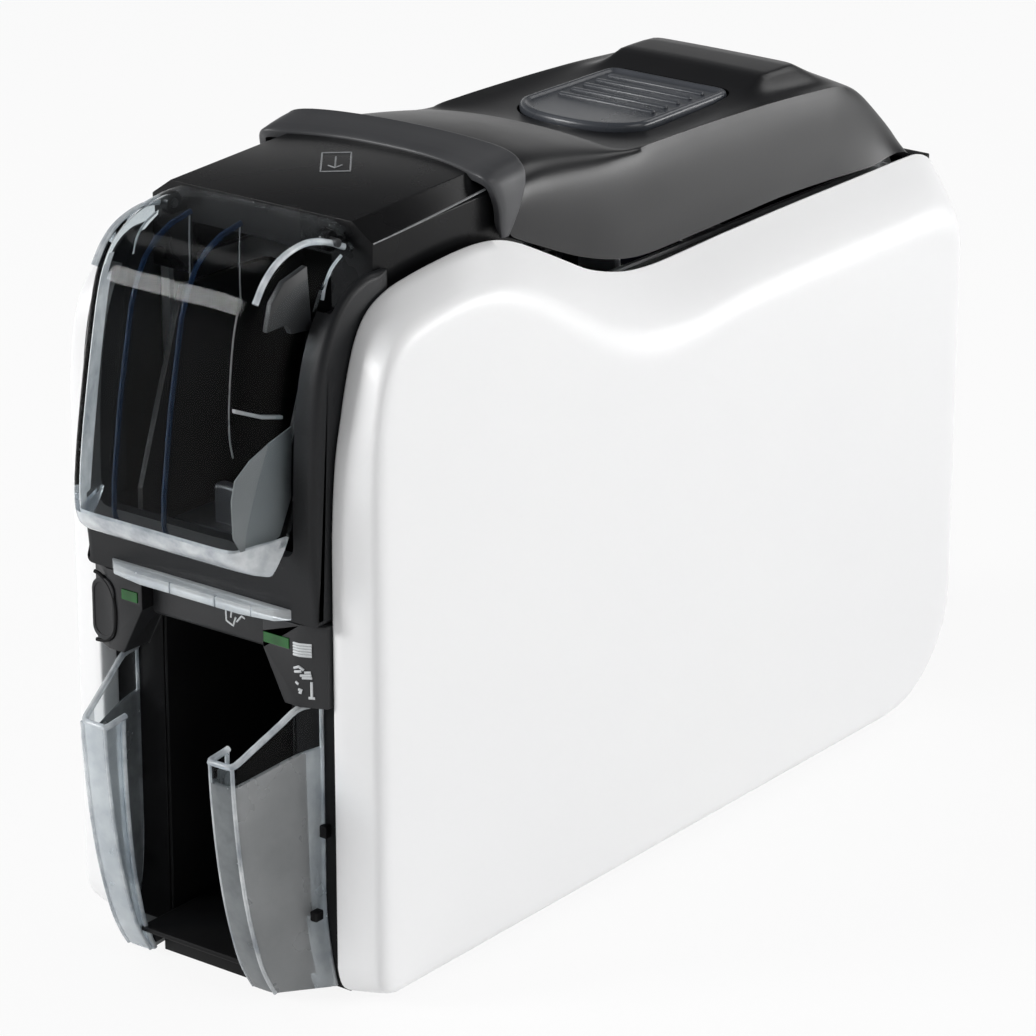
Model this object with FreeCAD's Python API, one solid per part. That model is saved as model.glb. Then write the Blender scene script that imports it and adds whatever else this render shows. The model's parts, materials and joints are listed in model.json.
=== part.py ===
import FreeCAD, Part
import math
import os

# Desktop ID card printer. Millimetres. Origin: middle of the footprint, on the table.
# +X is to the viewer's right from the front, +Y runs to the rear, +Z is up; the front faces -Y.

# Driving dimensions of the whole machine
overall_length = 395.0
overall_half_width = 69.0
core_half_width = 52.0
foot_height = 3.0
cover_top_height = 278.0
nose_rim_drop = 24.0
deck_rim_drop = 55.0
card_path_drop = 128.0
panel_front_setback = 31.5
panel_wall = 2.5
cover_wall = 2.4
card_width = 54.0
card_length = 85.6
card_thickness = 0.76
running_clearance = 0.05
skin_gap = 0.3
part_gap = 0.5
cut_overrun = 5.0
sheet_metal = 2.0

front_y = -overall_length / 2
rear_y = overall_length / 2
nose_rim_height = cover_top_height - nose_rim_drop
deck_rim_height = cover_top_height - deck_rim_drop
card_path_height = cover_top_height - card_path_drop
panel_front_y = front_y + panel_front_setback
panel_height = nose_rim_height - foot_height

# Stations along the machine, set back from its front face or from its rear face
fascia_setback = 25.5
cheek_setback = 38.5
frame_front_setback = 65.5
frame_rear_setback = 15.5
cover_front_setback = 147.5
cover_tail_setback = 14.5
fascia_front_y = front_y + fascia_setback
cheek_front_y = front_y + cheek_setback
frame_front_y = front_y + frame_front_setback
frame_rear_y = rear_y - frame_rear_setback
cover_front_y = front_y + cover_front_setback
cover_tail_y = rear_y - cover_tail_setback
cover_length = cover_tail_y - cover_front_y


def v(x, y, z):
    return FreeCAD.Vector(x, y, z)


def box(x0, x1, y0, y1, z0, z1):
    return Part.makeBox(x1 - x0, y1 - y0, z1 - z0, v(x0, y0, z0))


def both_sides_box(x0, x1, y0, y1, z0, z1):
    return box(x0, x1, y0, y1, z0, z1).fuse(box(-x1, -x0, y0, y1, z0, z1))


def prism_x(points, x0, x1):
    wire = Part.makePolygon([v(x0, y, z) for y, z in points] + [v(x0, points[0][0], points[0][1])])
    return Part.Face(wire).extrude(v(x1 - x0, 0, 0))


def prism_y(points, y0, y1):
    wire = Part.makePolygon([v(x, y0, z) for x, z in points] + [v(points[0][0], y0, points[0][1])])
    return Part.Face(wire).extrude(v(0, y1 - y0, 0))


def prism_z(points, z0, z1):
    wire = Part.makePolygon([v(x, y, z0) for x, y in points] + [v(points[0][0], points[0][1], z0)])
    return Part.Face(wire).extrude(v(0, 0, z1 - z0))


def rod_x(x0, x1, y, z, radius):
    return Part.makeCylinder(radius, x1 - x0, v(x0, y, z), v(1, 0, 0))


def rod_y(x, y0, y1, z, radius):
    return Part.makeCylinder(radius, y1 - y0, v(x, y0, z), v(0, 1, 0))


def rod_z(x, y, z0, z1, radius):
    return Part.makeCylinder(radius, z1 - z0, v(x, y, z0), v(0, 0, 1))


def mirrored(shape):
    return shape.mirror(v(0, 0, 0), v(1, 0, 0))


def ring_x(x0, x1, y, z, outer, inner):
    hole = rod_x(x0 - cut_overrun, x1 + cut_overrun, y, z, inner)
    return rod_x(x0, x1, y, z, outer).cut(hole)


def slot_y(x, z, half_wide, half_tall, y0, y1):
    flat = half_tall - half_wide
    middle = box(x - half_wide, x + half_wide, y0, y1, z - flat, z + flat)
    top = rod_y(x, y0, y1, z + flat, half_wide)
    low = rod_y(x, y0, y1, z - flat, half_wide)
    return middle.fuse([top, low]).removeSplitter()


def smoothed(shape, edges, radius):
    return shape.makeFillet(radius, edges) if edges else shape


straight_run_share = 0.999


def edges_along(shape, axis, test):
    found = []
    for edge in shape.Edges:
        ends = edge.Vertexes
        if len(ends) != 2:
            continue
        run = ends[1].Point - ends[0].Point
        along = abs(getattr(run, axis))
        if along > run.Length * straight_run_share and run.Length > 0 and test(edge.CenterOfMass):
            found.append(edge)
    return found


# White side panels: shallow trays with a wavy top and a wide sloping rim
panel_rear_corner_radius = 46.0
panel_front_corner_radius = 12.0
crease_front_inset = 5.0
crease_rear_inset = 3.0
crease_bottom_inset = 2.0
rim_outline_shares = [
    (0.0, 0.660), (0.006, 0.735), (0.018, 0.850), (0.034, 0.935), (0.052, 0.974), (0.085, 0.987),
    (0.140, 0.998), (0.200, 1.004), (0.245, 0.998), (0.275, 0.982), (0.320, 0.949), (0.378, 0.906),
    (0.425, 0.884), (0.470, 0.8765), (0.560, 0.8765), (0.740, 0.8765), (0.965, 0.8765),
]
crease_outline_shares = [
    (0.0, 0.665), (0.0, 0.745), (0.004, 0.845), (0.013, 0.905), (0.036, 0.941), (0.070, 0.949),
    (0.125, 0.960), (0.170, 0.957), (0.215, 0.938), (0.250, 0.910), (0.295, 0.876), (0.350, 0.829),
    (0.405, 0.785), (0.455, 0.768), (0.530, 0.772), (0.650, 0.788), (0.965, 0.786),
]
panel_top_corner_share = 0.03
crown_degree = 3


def panel_wire(x, shares, front_inset, rear_inset, bottom_inset, wall):
    y0 = panel_front_y + front_inset + wall
    y1 = rear_y - rear_inset - wall
    z0 = foot_height + bottom_inset + wall
    span = y1 - y0
    rise = panel_height - bottom_inset - wall - wall
    tops = [v(x, y0 + span * sy, z0 + rise * sz) for sy, sz in shares]
    rear_radius = panel_rear_corner_radius - rear_inset - wall
    front_radius = panel_front_corner_radius - wall
    diagonal = math.cos(math.pi / 4)
    last = tops[-1]
    corner = span * panel_top_corner_share
    crown = Part.BSplineCurve()
    crown.buildFromPoles(tops, False, crown_degree)
    rear_low = v(x, y1, z0 + rear_radius)
    bottom_rear = v(x, y1 - rear_radius, z0)
    rear_mid = v(x, y1 - rear_radius + rear_radius * diagonal, z0 + rear_radius - rear_radius * diagonal)
    bottom_front = v(x, y0 + front_radius, z0)
    front_low = v(x, y0, z0 + front_radius)
    front_mid = v(x, y0 + front_radius - front_radius * diagonal, z0 + front_radius - front_radius * diagonal)
    top_rear_mid = v(x, last.y + (y1 - last.y) * diagonal, last.z - corner + corner * diagonal)
    rear_high = v(x, y1, last.z - corner)
    edges = [
        Part.LineSegment(front_low, tops[0]).toShape(),
        crown.toShape(),
        Part.Arc(last, top_rear_mid, rear_high).toShape(),
        Part.LineSegment(rear_high, rear_low).toShape(),
        Part.Arc(rear_low, rear_mid, bottom_rear).toShape(),
        Part.LineSegment(bottom_rear, bottom_front).toShape(),
        Part.Arc(bottom_front, front_mid, front_low).toShape(),
    ]
    return Part.Wire(edges)


def side_panel_right():
    outer = [
        panel_wire(core_half_width, rim_outline_shares, 0, 0, 0, 0),
        panel_wire(overall_half_width, crease_outline_shares, crease_front_inset, crease_rear_inset,
                   crease_bottom_inset, 0),
    ]
    inner = [
        panel_wire(core_half_width - skin_gap, rim_outline_shares, 0, 0, 0, panel_wall),
        panel_wire(overall_half_width - panel_wall, crease_outline_shares, crease_front_inset,
                   crease_rear_inset, crease_bottom_inset, panel_wall),
    ]
    shell = Part.makeLoft(outer, True, True)
    return shell.cut(Part.makeLoft(inner, True, True))


# Base, feet and inner frame plates
base_floor_thickness = 3.0
base_bottom_z = foot_height
base_top_z = base_bottom_z + base_floor_thickness
base_half_width = core_half_width - part_gap
base_rear_y = rear_y - panel_rear_corner_radius
base_lip_height = 6.0
base_wall_height = 14.0
foot_radius = 7.0
foot_inset_x = 12.0
foot_inset_y = 24.0
frame_inner_x = 44.0
frame_outer_x = frame_inner_x + sheet_metal
cap_sill_drop = 38.0
cap_sill_z = cover_top_height - cap_sill_drop
frame_top_gap = 2.0
frame_top_z = deck_rim_height - frame_top_gap
frame_nose_z = cap_sill_z - skin_gap
frame_nose_reach = 28.0
frame_nose_rear_y = cover_front_y - frame_nose_reach
base_neck_half_width = 21.0
base_neck_overlap = 1.0
base_neck_rear_y = cheek_front_y + base_neck_overlap


def base_chassis():
    floor = box(-base_half_width, base_half_width, base_neck_rear_y, base_rear_y, base_bottom_z, base_top_z)
    neck = box(-base_neck_half_width, base_neck_half_width, fascia_front_y, base_neck_rear_y,
               base_bottom_z, base_top_z)
    step = box(-base_neck_half_width, base_neck_half_width, fascia_front_y, cheek_front_y - part_gap,
               base_top_z, base_top_z + base_lip_height)
    floor = floor.fuse([neck, step])
    rails = both_sides_box(base_half_width - base_floor_thickness, base_half_width, frame_front_y,
                           base_rear_y, base_top_z, base_top_z + base_wall_height)
    foot_sockets = [rod_z(x, y, base_bottom_z - cut_overrun, base_bottom_z + foot_height / 2, foot_radius / 2)
                    for x, y in foot_places()]
    return floor.fuse(rails).cut(Part.makeCompound(foot_sockets)).removeSplitter()


def foot_places():
    x = base_half_width - foot_inset_x
    fronts = base_neck_rear_y + foot_inset_y
    rears = base_rear_y - foot_inset_y
    return [(sx * x, y) for sx in (-1, 1) for y in (fronts, rears)]


def rubber_feet():
    feet = []
    for x, y in foot_places():
        pad = rod_z(x, y, 0, foot_height, foot_radius)
        stud = rod_z(x, y, foot_height, foot_height + foot_height / 2 - skin_gap,
                     foot_radius / 2 - running_clearance)
        feet.append(pad.fuse(stud).removeSplitter())
    return Part.makeCompound(feet)


# Card path: five rollers across the frame, driven by one toothed belt on the right
roller_radius = 7.0
feed_roller_radius = 9.0
pinch_radius = 5.0
roller_shaft_radius = 3.0
bush_radius = 5.0
bush_flange_radius = 6.5
pulley_radius = 8.0
pulley_width = 5.0
belt_width = 4.0
belt_thickness = 1.6
feed_setback = 85.5
feed_roller_y = front_y + feed_setback
entry_setback = 131.5
entry_roller_y = front_y + entry_setback
platen_place_share = 0.292
platen_y = cover_front_y + cover_length * platen_place_share
exit_place_share = 0.532
exit_roller_y = cover_front_y + cover_length * exit_place_share
motor_place_share = 0.12
motor_y = cover_front_y + cover_length * motor_place_share
motor_drop = 66.0
motor_z = card_path_height - motor_drop
motor_half_size = 21.0
motor_length = 30.0
motor_boss_radius = 11.0
motor_corner_radius = 4.0
motor_shaft_radius = 2.5
bush_flange_thickness = 1.2
magazine_floor_thickness = 2.0
roller_half_length = 27.0
feed_tyre_half_length = 9.0
roller_centre_z = card_path_height - roller_radius
feed_centre_z = card_path_height + magazine_floor_thickness - feed_roller_radius
pulley_gap = 2.0
pulley_inner_x = frame_outer_x + pulley_gap
pulley_outer_x = pulley_inner_x + pulley_width
shaft_end_length = 1.0
shaft_left_x = frame_outer_x + shaft_end_length
pinch_z = card_path_height + card_thickness + pinch_radius


def shaft_with_pulley(y, z):
    shaft = rod_x(-shaft_left_x, pulley_outer_x, y, z, roller_shaft_radius)
    hub = ring_x(pulley_inner_x, pulley_outer_x, y, z, pulley_radius, roller_shaft_radius)
    return shaft.fuse(hub).removeSplitter()


def rubber_tyre(y, z, radius, half_length):
    return ring_x(-half_length, half_length, y, z, radius, roller_shaft_radius)


def pinch_roller():
    shaft = rod_x(-shaft_left_x, shaft_left_x, entry_roller_y, pinch_z, roller_shaft_radius)
    tyre = ring_x(-roller_half_length, roller_half_length, entry_roller_y, pinch_z, pinch_radius,
                  roller_shaft_radius)
    return shaft.fuse(tyre).removeSplitter()


def driven_centres():
    return [(feed_roller_y, feed_centre_z), (entry_roller_y, roller_centre_z),
            (platen_y, roller_centre_z), (exit_roller_y, roller_centre_z)]


def roller_bushes():
    bushes = []
    for y, z in driven_centres():
        for side in (-1, 1):
            inner = side * frame_inner_x
            outer = side * frame_outer_x
            low = min(inner, outer)
            high = max(inner, outer)
            barrel = ring_x(low, high, y, z, bush_radius, roller_shaft_radius + running_clearance)
            flange_low = low - bush_flange_thickness if side > 0 else high
            flange = ring_x(flange_low, flange_low + bush_flange_thickness, y, z, bush_flange_radius,
                            roller_shaft_radius + running_clearance)
            bushes.append(barrel.fuse(flange).removeSplitter())
    return Part.makeCompound(bushes)


# The frame plates stand on the base and carry every shaft, the cover hinge and the keeper pins
hinge_setback = 26.5
hinge_y = rear_y - hinge_setback
hinge_drop = 5.0
hinge_z = deck_rim_height - hinge_drop
hinge_pin_radius = 3.0
hinge_lug_radius = 6.0
keeper_setback = 24.0
keeper_y = cover_front_y + keeper_setback
keeper_drop = 11.0
keeper_z = deck_rim_height - keeper_drop
keeper_radius = 2.0


def frame_plate_right():
    corner = panel_rear_corner_radius - (rear_y - frame_rear_y) + base_floor_thickness * 2
    step_y = hinge_y + hinge_lug_radius - sheet_metal
    step_z = hinge_z - hinge_lug_radius * 2
    nose_foot_y = frame_nose_rear_y + frame_nose_z - frame_top_z
    outline = [
        (frame_front_y, base_top_z), (frame_rear_y - corner, base_top_z), (frame_rear_y, base_top_z + corner),
        (frame_rear_y, step_z), (step_y, step_z), (step_y, frame_top_z), (nose_foot_y, frame_top_z),
        (frame_nose_rear_y, frame_nose_z), (frame_front_y, frame_nose_z),
    ]
    plate = prism_x(outline, frame_inner_x, frame_outer_x)
    rest_top = spool_z - supply_film_radius - skin_gap
    rests = [
        box(cartridge_outer_x - cartridge_plate, frame_inner_x, cartridge_front_y(), cartridge_rear_y(),
            rest_top - cartridge_rest_height, rest_top),
        rod_x(frame_inner_x, frame_outer_x, hinge_y, hinge_z, hinge_lug_radius),
    ]
    holes = [cross_hole(y, z, bush_radius) for y, z in driven_centres()]
    holes.append(cross_hole(entry_roller_y, pinch_z, roller_shaft_radius + running_clearance))
    holes.append(cross_hole(hinge_y, hinge_z, hinge_pin_radius))
    holes.append(cross_hole(motor_y, motor_z, motor_boss_radius))
    return plate.fuse(rests).cut(Part.makeCompound(holes)).removeSplitter()


def cross_hole(y, z, radius):
    return rod_x(frame_inner_x - cut_overrun, frame_outer_x + cut_overrun, y, z, radius)


def drive_motor():
    body = box(frame_inner_x - motor_length, frame_inner_x, motor_y - motor_half_size,
               motor_y + motor_half_size, motor_z - motor_half_size, motor_z + motor_half_size)
    corners = edges_along(body, "x", lambda c: True)
    body = body.makeFillet(motor_corner_radius, corners)
    boss = rod_x(frame_inner_x, frame_outer_x, motor_y, motor_z, motor_boss_radius - skin_gap)
    bore = rod_x(frame_inner_x - motor_length / 2, frame_outer_x + cut_overrun, motor_y, motor_z,
                 motor_shaft_radius + running_clearance)
    return body.fuse(boss).cut(bore).removeSplitter()


def motor_pulley():
    shaft = rod_x(frame_inner_x - motor_length / 2 + skin_gap, pulley_outer_x, motor_y, motor_z,
                  motor_shaft_radius)
    hub = ring_x(pulley_inner_x, pulley_outer_x, motor_y, motor_z, pulley_radius, motor_shaft_radius)
    return shaft.fuse(hub).removeSplitter()


def drive_belt():
    middle = (pulley_inner_x + pulley_outer_x - belt_width) / 2
    corners = [(feed_roller_y, feed_centre_z), (exit_roller_y, roller_centre_z), (motor_y, motor_z)]
    points = [v(middle, y, z) for y, z in corners]
    loop = Part.makePolygon(points + [points[0]])
    inner_radius = pulley_radius + skin_gap
    inner = Part.Face(loop.makeOffset2D(inner_radius)).extrude(v(belt_width, 0, 0))
    outer = Part.Face(loop.makeOffset2D(inner_radius + belt_thickness)).extrude(v(belt_width, 0, 0))
    return outer.cut(inner)


# Card magazine under the clear door, with the pusher weight that presses the stack down
card_side_gap = 1.0
magazine_inner_half = card_width / 2 + card_side_gap
magazine_wall = 2.2
magazine_setback = 29.0
magazine_front_y = front_y + magazine_setback
magazine_spare_length = 2.4
magazine_rear_y = magazine_front_y + card_length + magazine_spare_length
magazine_floor_z = card_path_height
magazine_top_gap = 2.0
magazine_top_z = cap_sill_z - magazine_top_gap
magazine_front_rise = 22.0
magazine_front_low_z = magazine_floor_z + magazine_front_rise
magazine_front_run = 23.5
magazine_front_top_y = magazine_front_y + magazine_front_run
feed_window_side_gap = 2.0
feed_window_end_gap = 1.0
feed_window_half = feed_tyre_half_length + feed_window_side_gap
feed_window_reach = feed_roller_radius + feed_window_end_gap
exit_slot_height = 3.0
pusher_thickness = 5.0
pusher_length = 70.0
pusher_grip_height = 14.0
pusher_side_gap = 0.6
guide_rail_half = 3.0
guide_rail_depth = 3.0


def card_magazine():
    outer_half = magazine_inner_half + magazine_wall
    side_outline = [
        (magazine_front_y, magazine_floor_z), (magazine_rear_y, magazine_floor_z),
        (magazine_rear_y, magazine_top_z), (magazine_front_top_y, magazine_top_z),
        (magazine_front_y, magazine_front_low_z),
    ]
    shell = prism_x(side_outline, -outer_half, outer_half)
    hollow = box(-magazine_inner_half, magazine_inner_half, magazine_front_y - cut_overrun,
                 magazine_rear_y - magazine_wall, magazine_floor_z + magazine_floor_thickness,
                 magazine_top_z + cut_overrun)
    window = box(-feed_window_half, feed_window_half, feed_roller_y - feed_window_reach,
                 feed_roller_y + feed_window_reach, magazine_floor_z - cut_overrun,
                 magazine_floor_z + magazine_floor_thickness + cut_overrun)
    back_y = magazine_rear_y - magazine_wall
    slot_low_z = magazine_floor_z + magazine_floor_thickness
    slot_high_z = slot_low_z + exit_slot_height
    exit_slot = box(-magazine_inner_half, magazine_inner_half, back_y - cut_overrun,
                    magazine_rear_y + cut_overrun, slot_low_z, slot_high_z)
    rail = box(-guide_rail_half, guide_rail_half, back_y - guide_rail_depth, back_y, slot_high_z,
               magazine_top_z)
    return shell.cut(hollow).cut(window).cut(exit_slot).fuse(rail).removeSplitter()


def card_pusher():
    half = magazine_inner_half - pusher_side_gap
    y1 = magazine_rear_y - magazine_wall - pusher_side_gap
    y0 = y1 - pusher_length
    z0 = magazine_floor_z + magazine_floor_thickness + skin_gap
    plate = box(-half, half, y0, y1, z0, z0 + pusher_thickness)
    notch_half = guide_rail_half + pusher_side_gap
    notch = box(-notch_half, notch_half, y1 - guide_rail_depth - pusher_side_gap, y1 + cut_overrun,
                z0 - cut_overrun, z0 + pusher_thickness + cut_overrun)
    grip = box(-half / 2, half / 2, y0 + pusher_thickness, y0 + pusher_thickness * 2,
               z0 + pusher_thickness, z0 + pusher_thickness + pusher_grip_height)
    plate = plate.cut(notch).fuse(grip).removeSplitter()
    tops = edges_along(plate, "x", lambda c: c.z > z0 + pusher_thickness + pusher_grip_height / 2)
    return plate.makeFillet(pusher_thickness / 3, tops)


# Lower and upper card guides behind the magazine
guide_thickness = 1.6
guide_skirt = 5.0
guide_tail = 22.0
guide_window_gap = 0.9
guide_front_y = magazine_rear_y + part_gap
guide_rear_y = exit_roller_y + guide_tail
guide_half_width = frame_inner_x - bush_flange_thickness - skin_gap


def card_guide():
    z1 = card_path_height - skin_gap
    plate = box(-guide_half_width, guide_half_width, guide_front_y, guide_rear_y, z1 - guide_thickness, z1)
    windows = []
    for y in (entry_roller_y, platen_y, exit_roller_y):
        reach = roller_radius + skin_gap
        half = roller_half_length + guide_window_gap
        windows.append(box(-half, half, y - reach, y + reach, z1 - guide_thickness - cut_overrun,
                           z1 + cut_overrun))
    skirts = []
    for side in (-1, 1):
        x0 = side * guide_half_width
        x1 = side * (guide_half_width - guide_thickness)
        skirt = box(min(x0, x1), max(x0, x1), guide_front_y, guide_rear_y, z1 - guide_skirt, z1)
        for y, z in driven_centres():
            skirt = skirt.cut(rod_x(-core_half_width, core_half_width, y, z, bush_flange_radius + skin_gap))
        skirts.append(skirt)
    return plate.cut(Part.makeCompound(windows)).fuse(skirts).removeSplitter()


# Ribbon cartridge: end plates and bars, two spools, and the film stretched under the print head
takeup_place_share = 0.069
takeup_y = cover_front_y + cover_length * takeup_place_share
supply_place_share = 0.575
supply_y = cover_front_y + cover_length * supply_place_share
spool_rise = 40.0
spool_z = card_path_height + spool_rise
takeup_film_radius = 11.0
supply_film_radius = 15.0
spool_core_radius = 6.5
spool_drive_radius = 4.0
spool_half_length = 33.0
spool_flange_radius = 17.0
spool_flange_thickness = 1.5
cartridge_outer_x = 42.5
cartridge_plate = 2.5
cartridge_margin = 6.0
cartridge_bar = 5.0
cartridge_rest_height = 3.0
film_thickness = 0.4
film_half_width = 30.0
film_low_z = card_path_height + card_thickness + skin_gap
film_rest_half = 10.0


def spool_centres():
    return [(takeup_y, spool_z), (supply_y, spool_z)]


def cartridge_front_y():
    return takeup_y - spool_flange_radius - cartridge_margin


def cartridge_rear_y():
    return supply_y + spool_flange_radius + cartridge_margin


def ribbon_cartridge():
    inner = cartridge_outer_x - cartridge_plate
    y0 = cartridge_front_y()
    y1 = cartridge_rear_y()
    z0 = spool_z - supply_film_radius
    z1 = spool_z + supply_film_radius
    ends = both_sides_box(inner, cartridge_outer_x, y0, y1, z0, z1)
    bars = box(-inner, inner, y0, y0 + cartridge_bar, z0, z0 + cartridge_bar)
    bars = bars.fuse(box(-inner, inner, y1 - cartridge_bar, y1, z0, z0 + cartridge_bar))
    handle = box(-inner, inner, y1 - cartridge_bar, y1, z1 - cartridge_bar, z1)
    shape = ends.fuse([bars, handle])
    for y, z in spool_centres():
        shape = shape.cut(rod_x(-core_half_width, core_half_width, y, z,
                                spool_drive_radius + running_clearance))
    return shape.removeSplitter()


def spool(y):
    core = rod_x(-cartridge_outer_x + skin_gap, cartridge_outer_x - skin_gap, y, spool_z, spool_drive_radius)
    barrel = ring_x(-spool_half_length, spool_half_length, y, spool_z, spool_core_radius, spool_drive_radius)
    discs = []
    for side in (-1, 1):
        x0 = side * spool_half_length
        x1 = side * (spool_half_length + spool_flange_thickness)
        discs.append(rod_x(min(x0, x1), max(x0, x1), y, spool_z,
                           spool_core_radius + spool_flange_thickness))
    return core.fuse([barrel] + discs).removeSplitter()


def wound_film(y, radius):
    return ring_x(-film_half_width, film_half_width, y, spool_z, radius, spool_core_radius)


def ribbon_film():
    takeup_low = spool_z - takeup_film_radius - film_thickness
    supply_low = spool_z - supply_film_radius - film_thickness
    upper = [
        (takeup_y, takeup_low - skin_gap), (platen_y - film_rest_half, film_low_z),
        (platen_y + film_rest_half, film_low_z), (supply_y, supply_low - skin_gap),
    ]
    lower = [(y, z + film_thickness) for y, z in reversed(upper)]
    return prism_x(upper + lower, -film_half_width, film_half_width)


# Print head, its finned heat sink and the bracket that hangs it from the cover
head_half_length = 32.0
head_thickness = 9.0
head_low_z = film_low_z + film_thickness + skin_gap
head_height = 6.0
sink_height = 20.0
sink_half_thickness = 7.0
fin_gap = 2.0
fin_count = 8
bracket_half_length = 34.0
bracket_thickness = 3.0
bracket_flange_drop = 22.0
bracket_flange_z = cover_top_height - bracket_flange_drop
bracket_flange = 16.0
bracket_window_margin = 9.0


def print_head():
    z1 = head_low_z + head_height
    base = box(-head_half_length, head_half_length, platen_y - head_thickness / 2,
               platen_y + head_thickness / 2, head_low_z, z1)
    lows = edges_along(base, "x", lambda c: c.z < head_low_z + head_height / 2)
    return smoothed(base, lows, head_height / 4)


def head_heat_sink():
    z0 = head_low_z + head_height
    z1 = z0 + sink_height
    block = box(-head_half_length, head_half_length, platen_y - sink_half_thickness,
                platen_y + sink_half_thickness, z0, z1)
    pitch = head_half_length * 2 / fin_count
    grooves = []
    for n in range(1, fin_count):
        x = -head_half_length + pitch * n
        grooves.append(box(x - fin_gap / 2, x + fin_gap / 2, platen_y - sink_half_thickness - cut_overrun,
                           platen_y - bracket_thickness / 2, z0 + fin_gap, z1 + cut_overrun))
    return block.cut(Part.makeCompound(grooves))


def head_bracket():
    z0 = head_low_z + head_height + sink_height
    low = box(-bracket_half_length, bracket_half_length, platen_y - sink_half_thickness,
              platen_y + sink_half_thickness, z0, z0 + bracket_thickness)
    web = box(-bracket_half_length, bracket_half_length, platen_y - bracket_thickness / 2,
              platen_y + bracket_thickness / 2, z0, cover_top_height)
    top = box(-bracket_half_length, bracket_half_length, platen_y - bracket_flange / 2,
              platen_y + bracket_thickness / 2, bracket_flange_z, cover_top_height)
    hole = box(-bracket_half_length / 2, bracket_half_length / 2, platen_y - bracket_thickness,
               platen_y + bracket_thickness, z0 + bracket_window_margin,
               bracket_flange_z - bracket_window_margin)
    roof = cover_loft(cover_wall, cut_overrun, cover_front_y, cover_tail_y)
    below = box(-bracket_half_length, bracket_half_length, platen_y - bracket_flange,
                platen_y + bracket_flange, z0, bracket_flange_z)
    return low.fuse([web, top]).cut(hole).common(roof.fuse(below)).removeSplitter()


# Main cover: a loft whose sections run from the high front to the sloping tail
cover_low_half = core_half_width - part_gap
cover_low_drop = 3.0
cover_low_z = deck_rim_height - cover_low_drop
cover_rise = cover_top_height - cover_low_z
# Each section: place along the cover, then half widths and heights as shares, from sill to crown
cover_section_shares = [
    (0.000, (0.996, 0.983, 0.977, 0.932, 0.786, 0.0), (0.320, 0.586, 0.741, 0.862, 0.931, 0.966)),
    (0.086, (0.996, 0.975, 0.959, 0.922, 0.777, 0.0), (0.155, 0.431, 0.672, 0.793, 0.871, 0.922)),
    (0.215, (0.996, 0.967, 0.928, 0.893, 0.738, 0.0), (0.010, 0.345, 0.638, 0.741, 0.810, 0.850)),
    (0.390, (0.996, 0.963, 0.917, 0.878, 0.718, 0.0), (0.000, 0.345, 0.647, 0.729, 0.776, 0.800)),
    (0.650, (0.996, 0.963, 0.917, 0.878, 0.718, 0.0), (0.000, 0.345, 0.647, 0.729, 0.776, 0.800)),
    (0.790, (0.996, 0.963, 0.917, 0.874, 0.699, 0.0), (0.000, 0.310, 0.586, 0.681, 0.750, 0.776)),
    (0.877, (0.996, 0.971, 0.932, 0.874, 0.680, 0.0), (0.000, 0.207, 0.414, 0.483, 0.526, 0.543)),
    (1.000, (0.996, 0.983, 0.961, 0.893, 0.699, 0.0), (0.000, 0.034, 0.069, 0.095, 0.112, 0.120)),
]


def section_wire(y, halves, heights, inset, sink):
    points = []
    for half_share, height_share in zip(halves, heights):
        half = cover_low_half * half_share
        if half > 0:
            half -= inset
        points.append((half, cover_low_z + cover_rise * height_share - inset))
    points[0] = (points[0][0], points[0][1] + inset - sink)
    right = [v(x, y, z) for x, z in points]
    left = [v(-x, y, z) for x, z in reversed(points[:-1])]
    return Part.makePolygon(right + left + [right[0]])


def cover_loft(inset, sink, from_y, to_y):
    wires = []
    for share, halves, heights in cover_section_shares:
        y = cover_front_y + cover_length * share
        if share == 0:
            y -= sink
        elif share == 1:
            y -= inset
        wires.append(section_wire(y, halves, heights, inset, sink))
    whole = Part.makeLoft(wires, True, True)
    keep = box(-overall_half_width, overall_half_width, from_y, to_y, 0, cover_top_height + cut_overrun)
    return whole.common(keep)


# The collar arches over the hopper cap; its front edge curves back to the middle and down the sides
collar_reach = 30.0
collar_front_y = cover_front_y - collar_reach
collar_wall_gap = 0.6
collar_low_drop = 35.0
collar_low_z = cover_top_height - collar_low_drop
# Front edge from above: place across as a share of the core half width, setback as a share of the reach
collar_plan_shares = [(0.00, 0.47), (0.18, 0.42), (0.35, 0.32), (0.52, 0.18), (0.68, 0.08), (0.90, 0.0)]
# Front edge from the side: height as a share of the rise, setback as a share of the reach
collar_side_shares = [(0.0, 0.50), (0.24, 0.40), (0.33, 0.31), (0.45, 0.21), (0.57, 0.13), (0.80, 0.0)]
# Half widths as shares of the core half width, heights as shares from the collar's foot to its crown
collar_outline_shares = [
    (0.985, 0.000), (0.985, 0.240), (1.030, 0.420), (1.030, 0.640), (0.975, 0.850), (0.800, 0.955),
    (0.0, 1.000),
]


def collar_prism(y0, y1):
    rise = cover_top_height - collar_low_z
    right = [(core_half_width * a, collar_low_z + rise * b) for a, b in collar_outline_shares]
    left = [(-x, z) for x, z in reversed(right[:-1])]
    return prism_y(right + left, y0, y1)


def cover_collar():
    arch = collar_prism(collar_front_y, cover_front_y)
    tunnel = cap_block(collar_wall_gap, front_y, rear_y, 0)
    ahead = collar_front_y - cut_overrun
    right = [(core_half_width * a, collar_front_y + collar_reach * b) for a, b in collar_plan_shares]
    left = [(-x, y) for x, y in reversed(right[1:])]
    plan = prism_z([(left[0][0], ahead)] + left + right + [(right[-1][0], ahead)], 0,
                   cover_top_height + cut_overrun)
    rise = cover_top_height - collar_low_z
    side = [(collar_front_y + collar_reach * b, collar_low_z + rise * a) for a, b in collar_side_shares]
    flank = prism_x([(ahead, side[0][1]), *side, (ahead, side[-1][1])], -overall_half_width,
                    overall_half_width)
    return arch.cut(tunnel).cut(plan).cut(flank)


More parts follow.
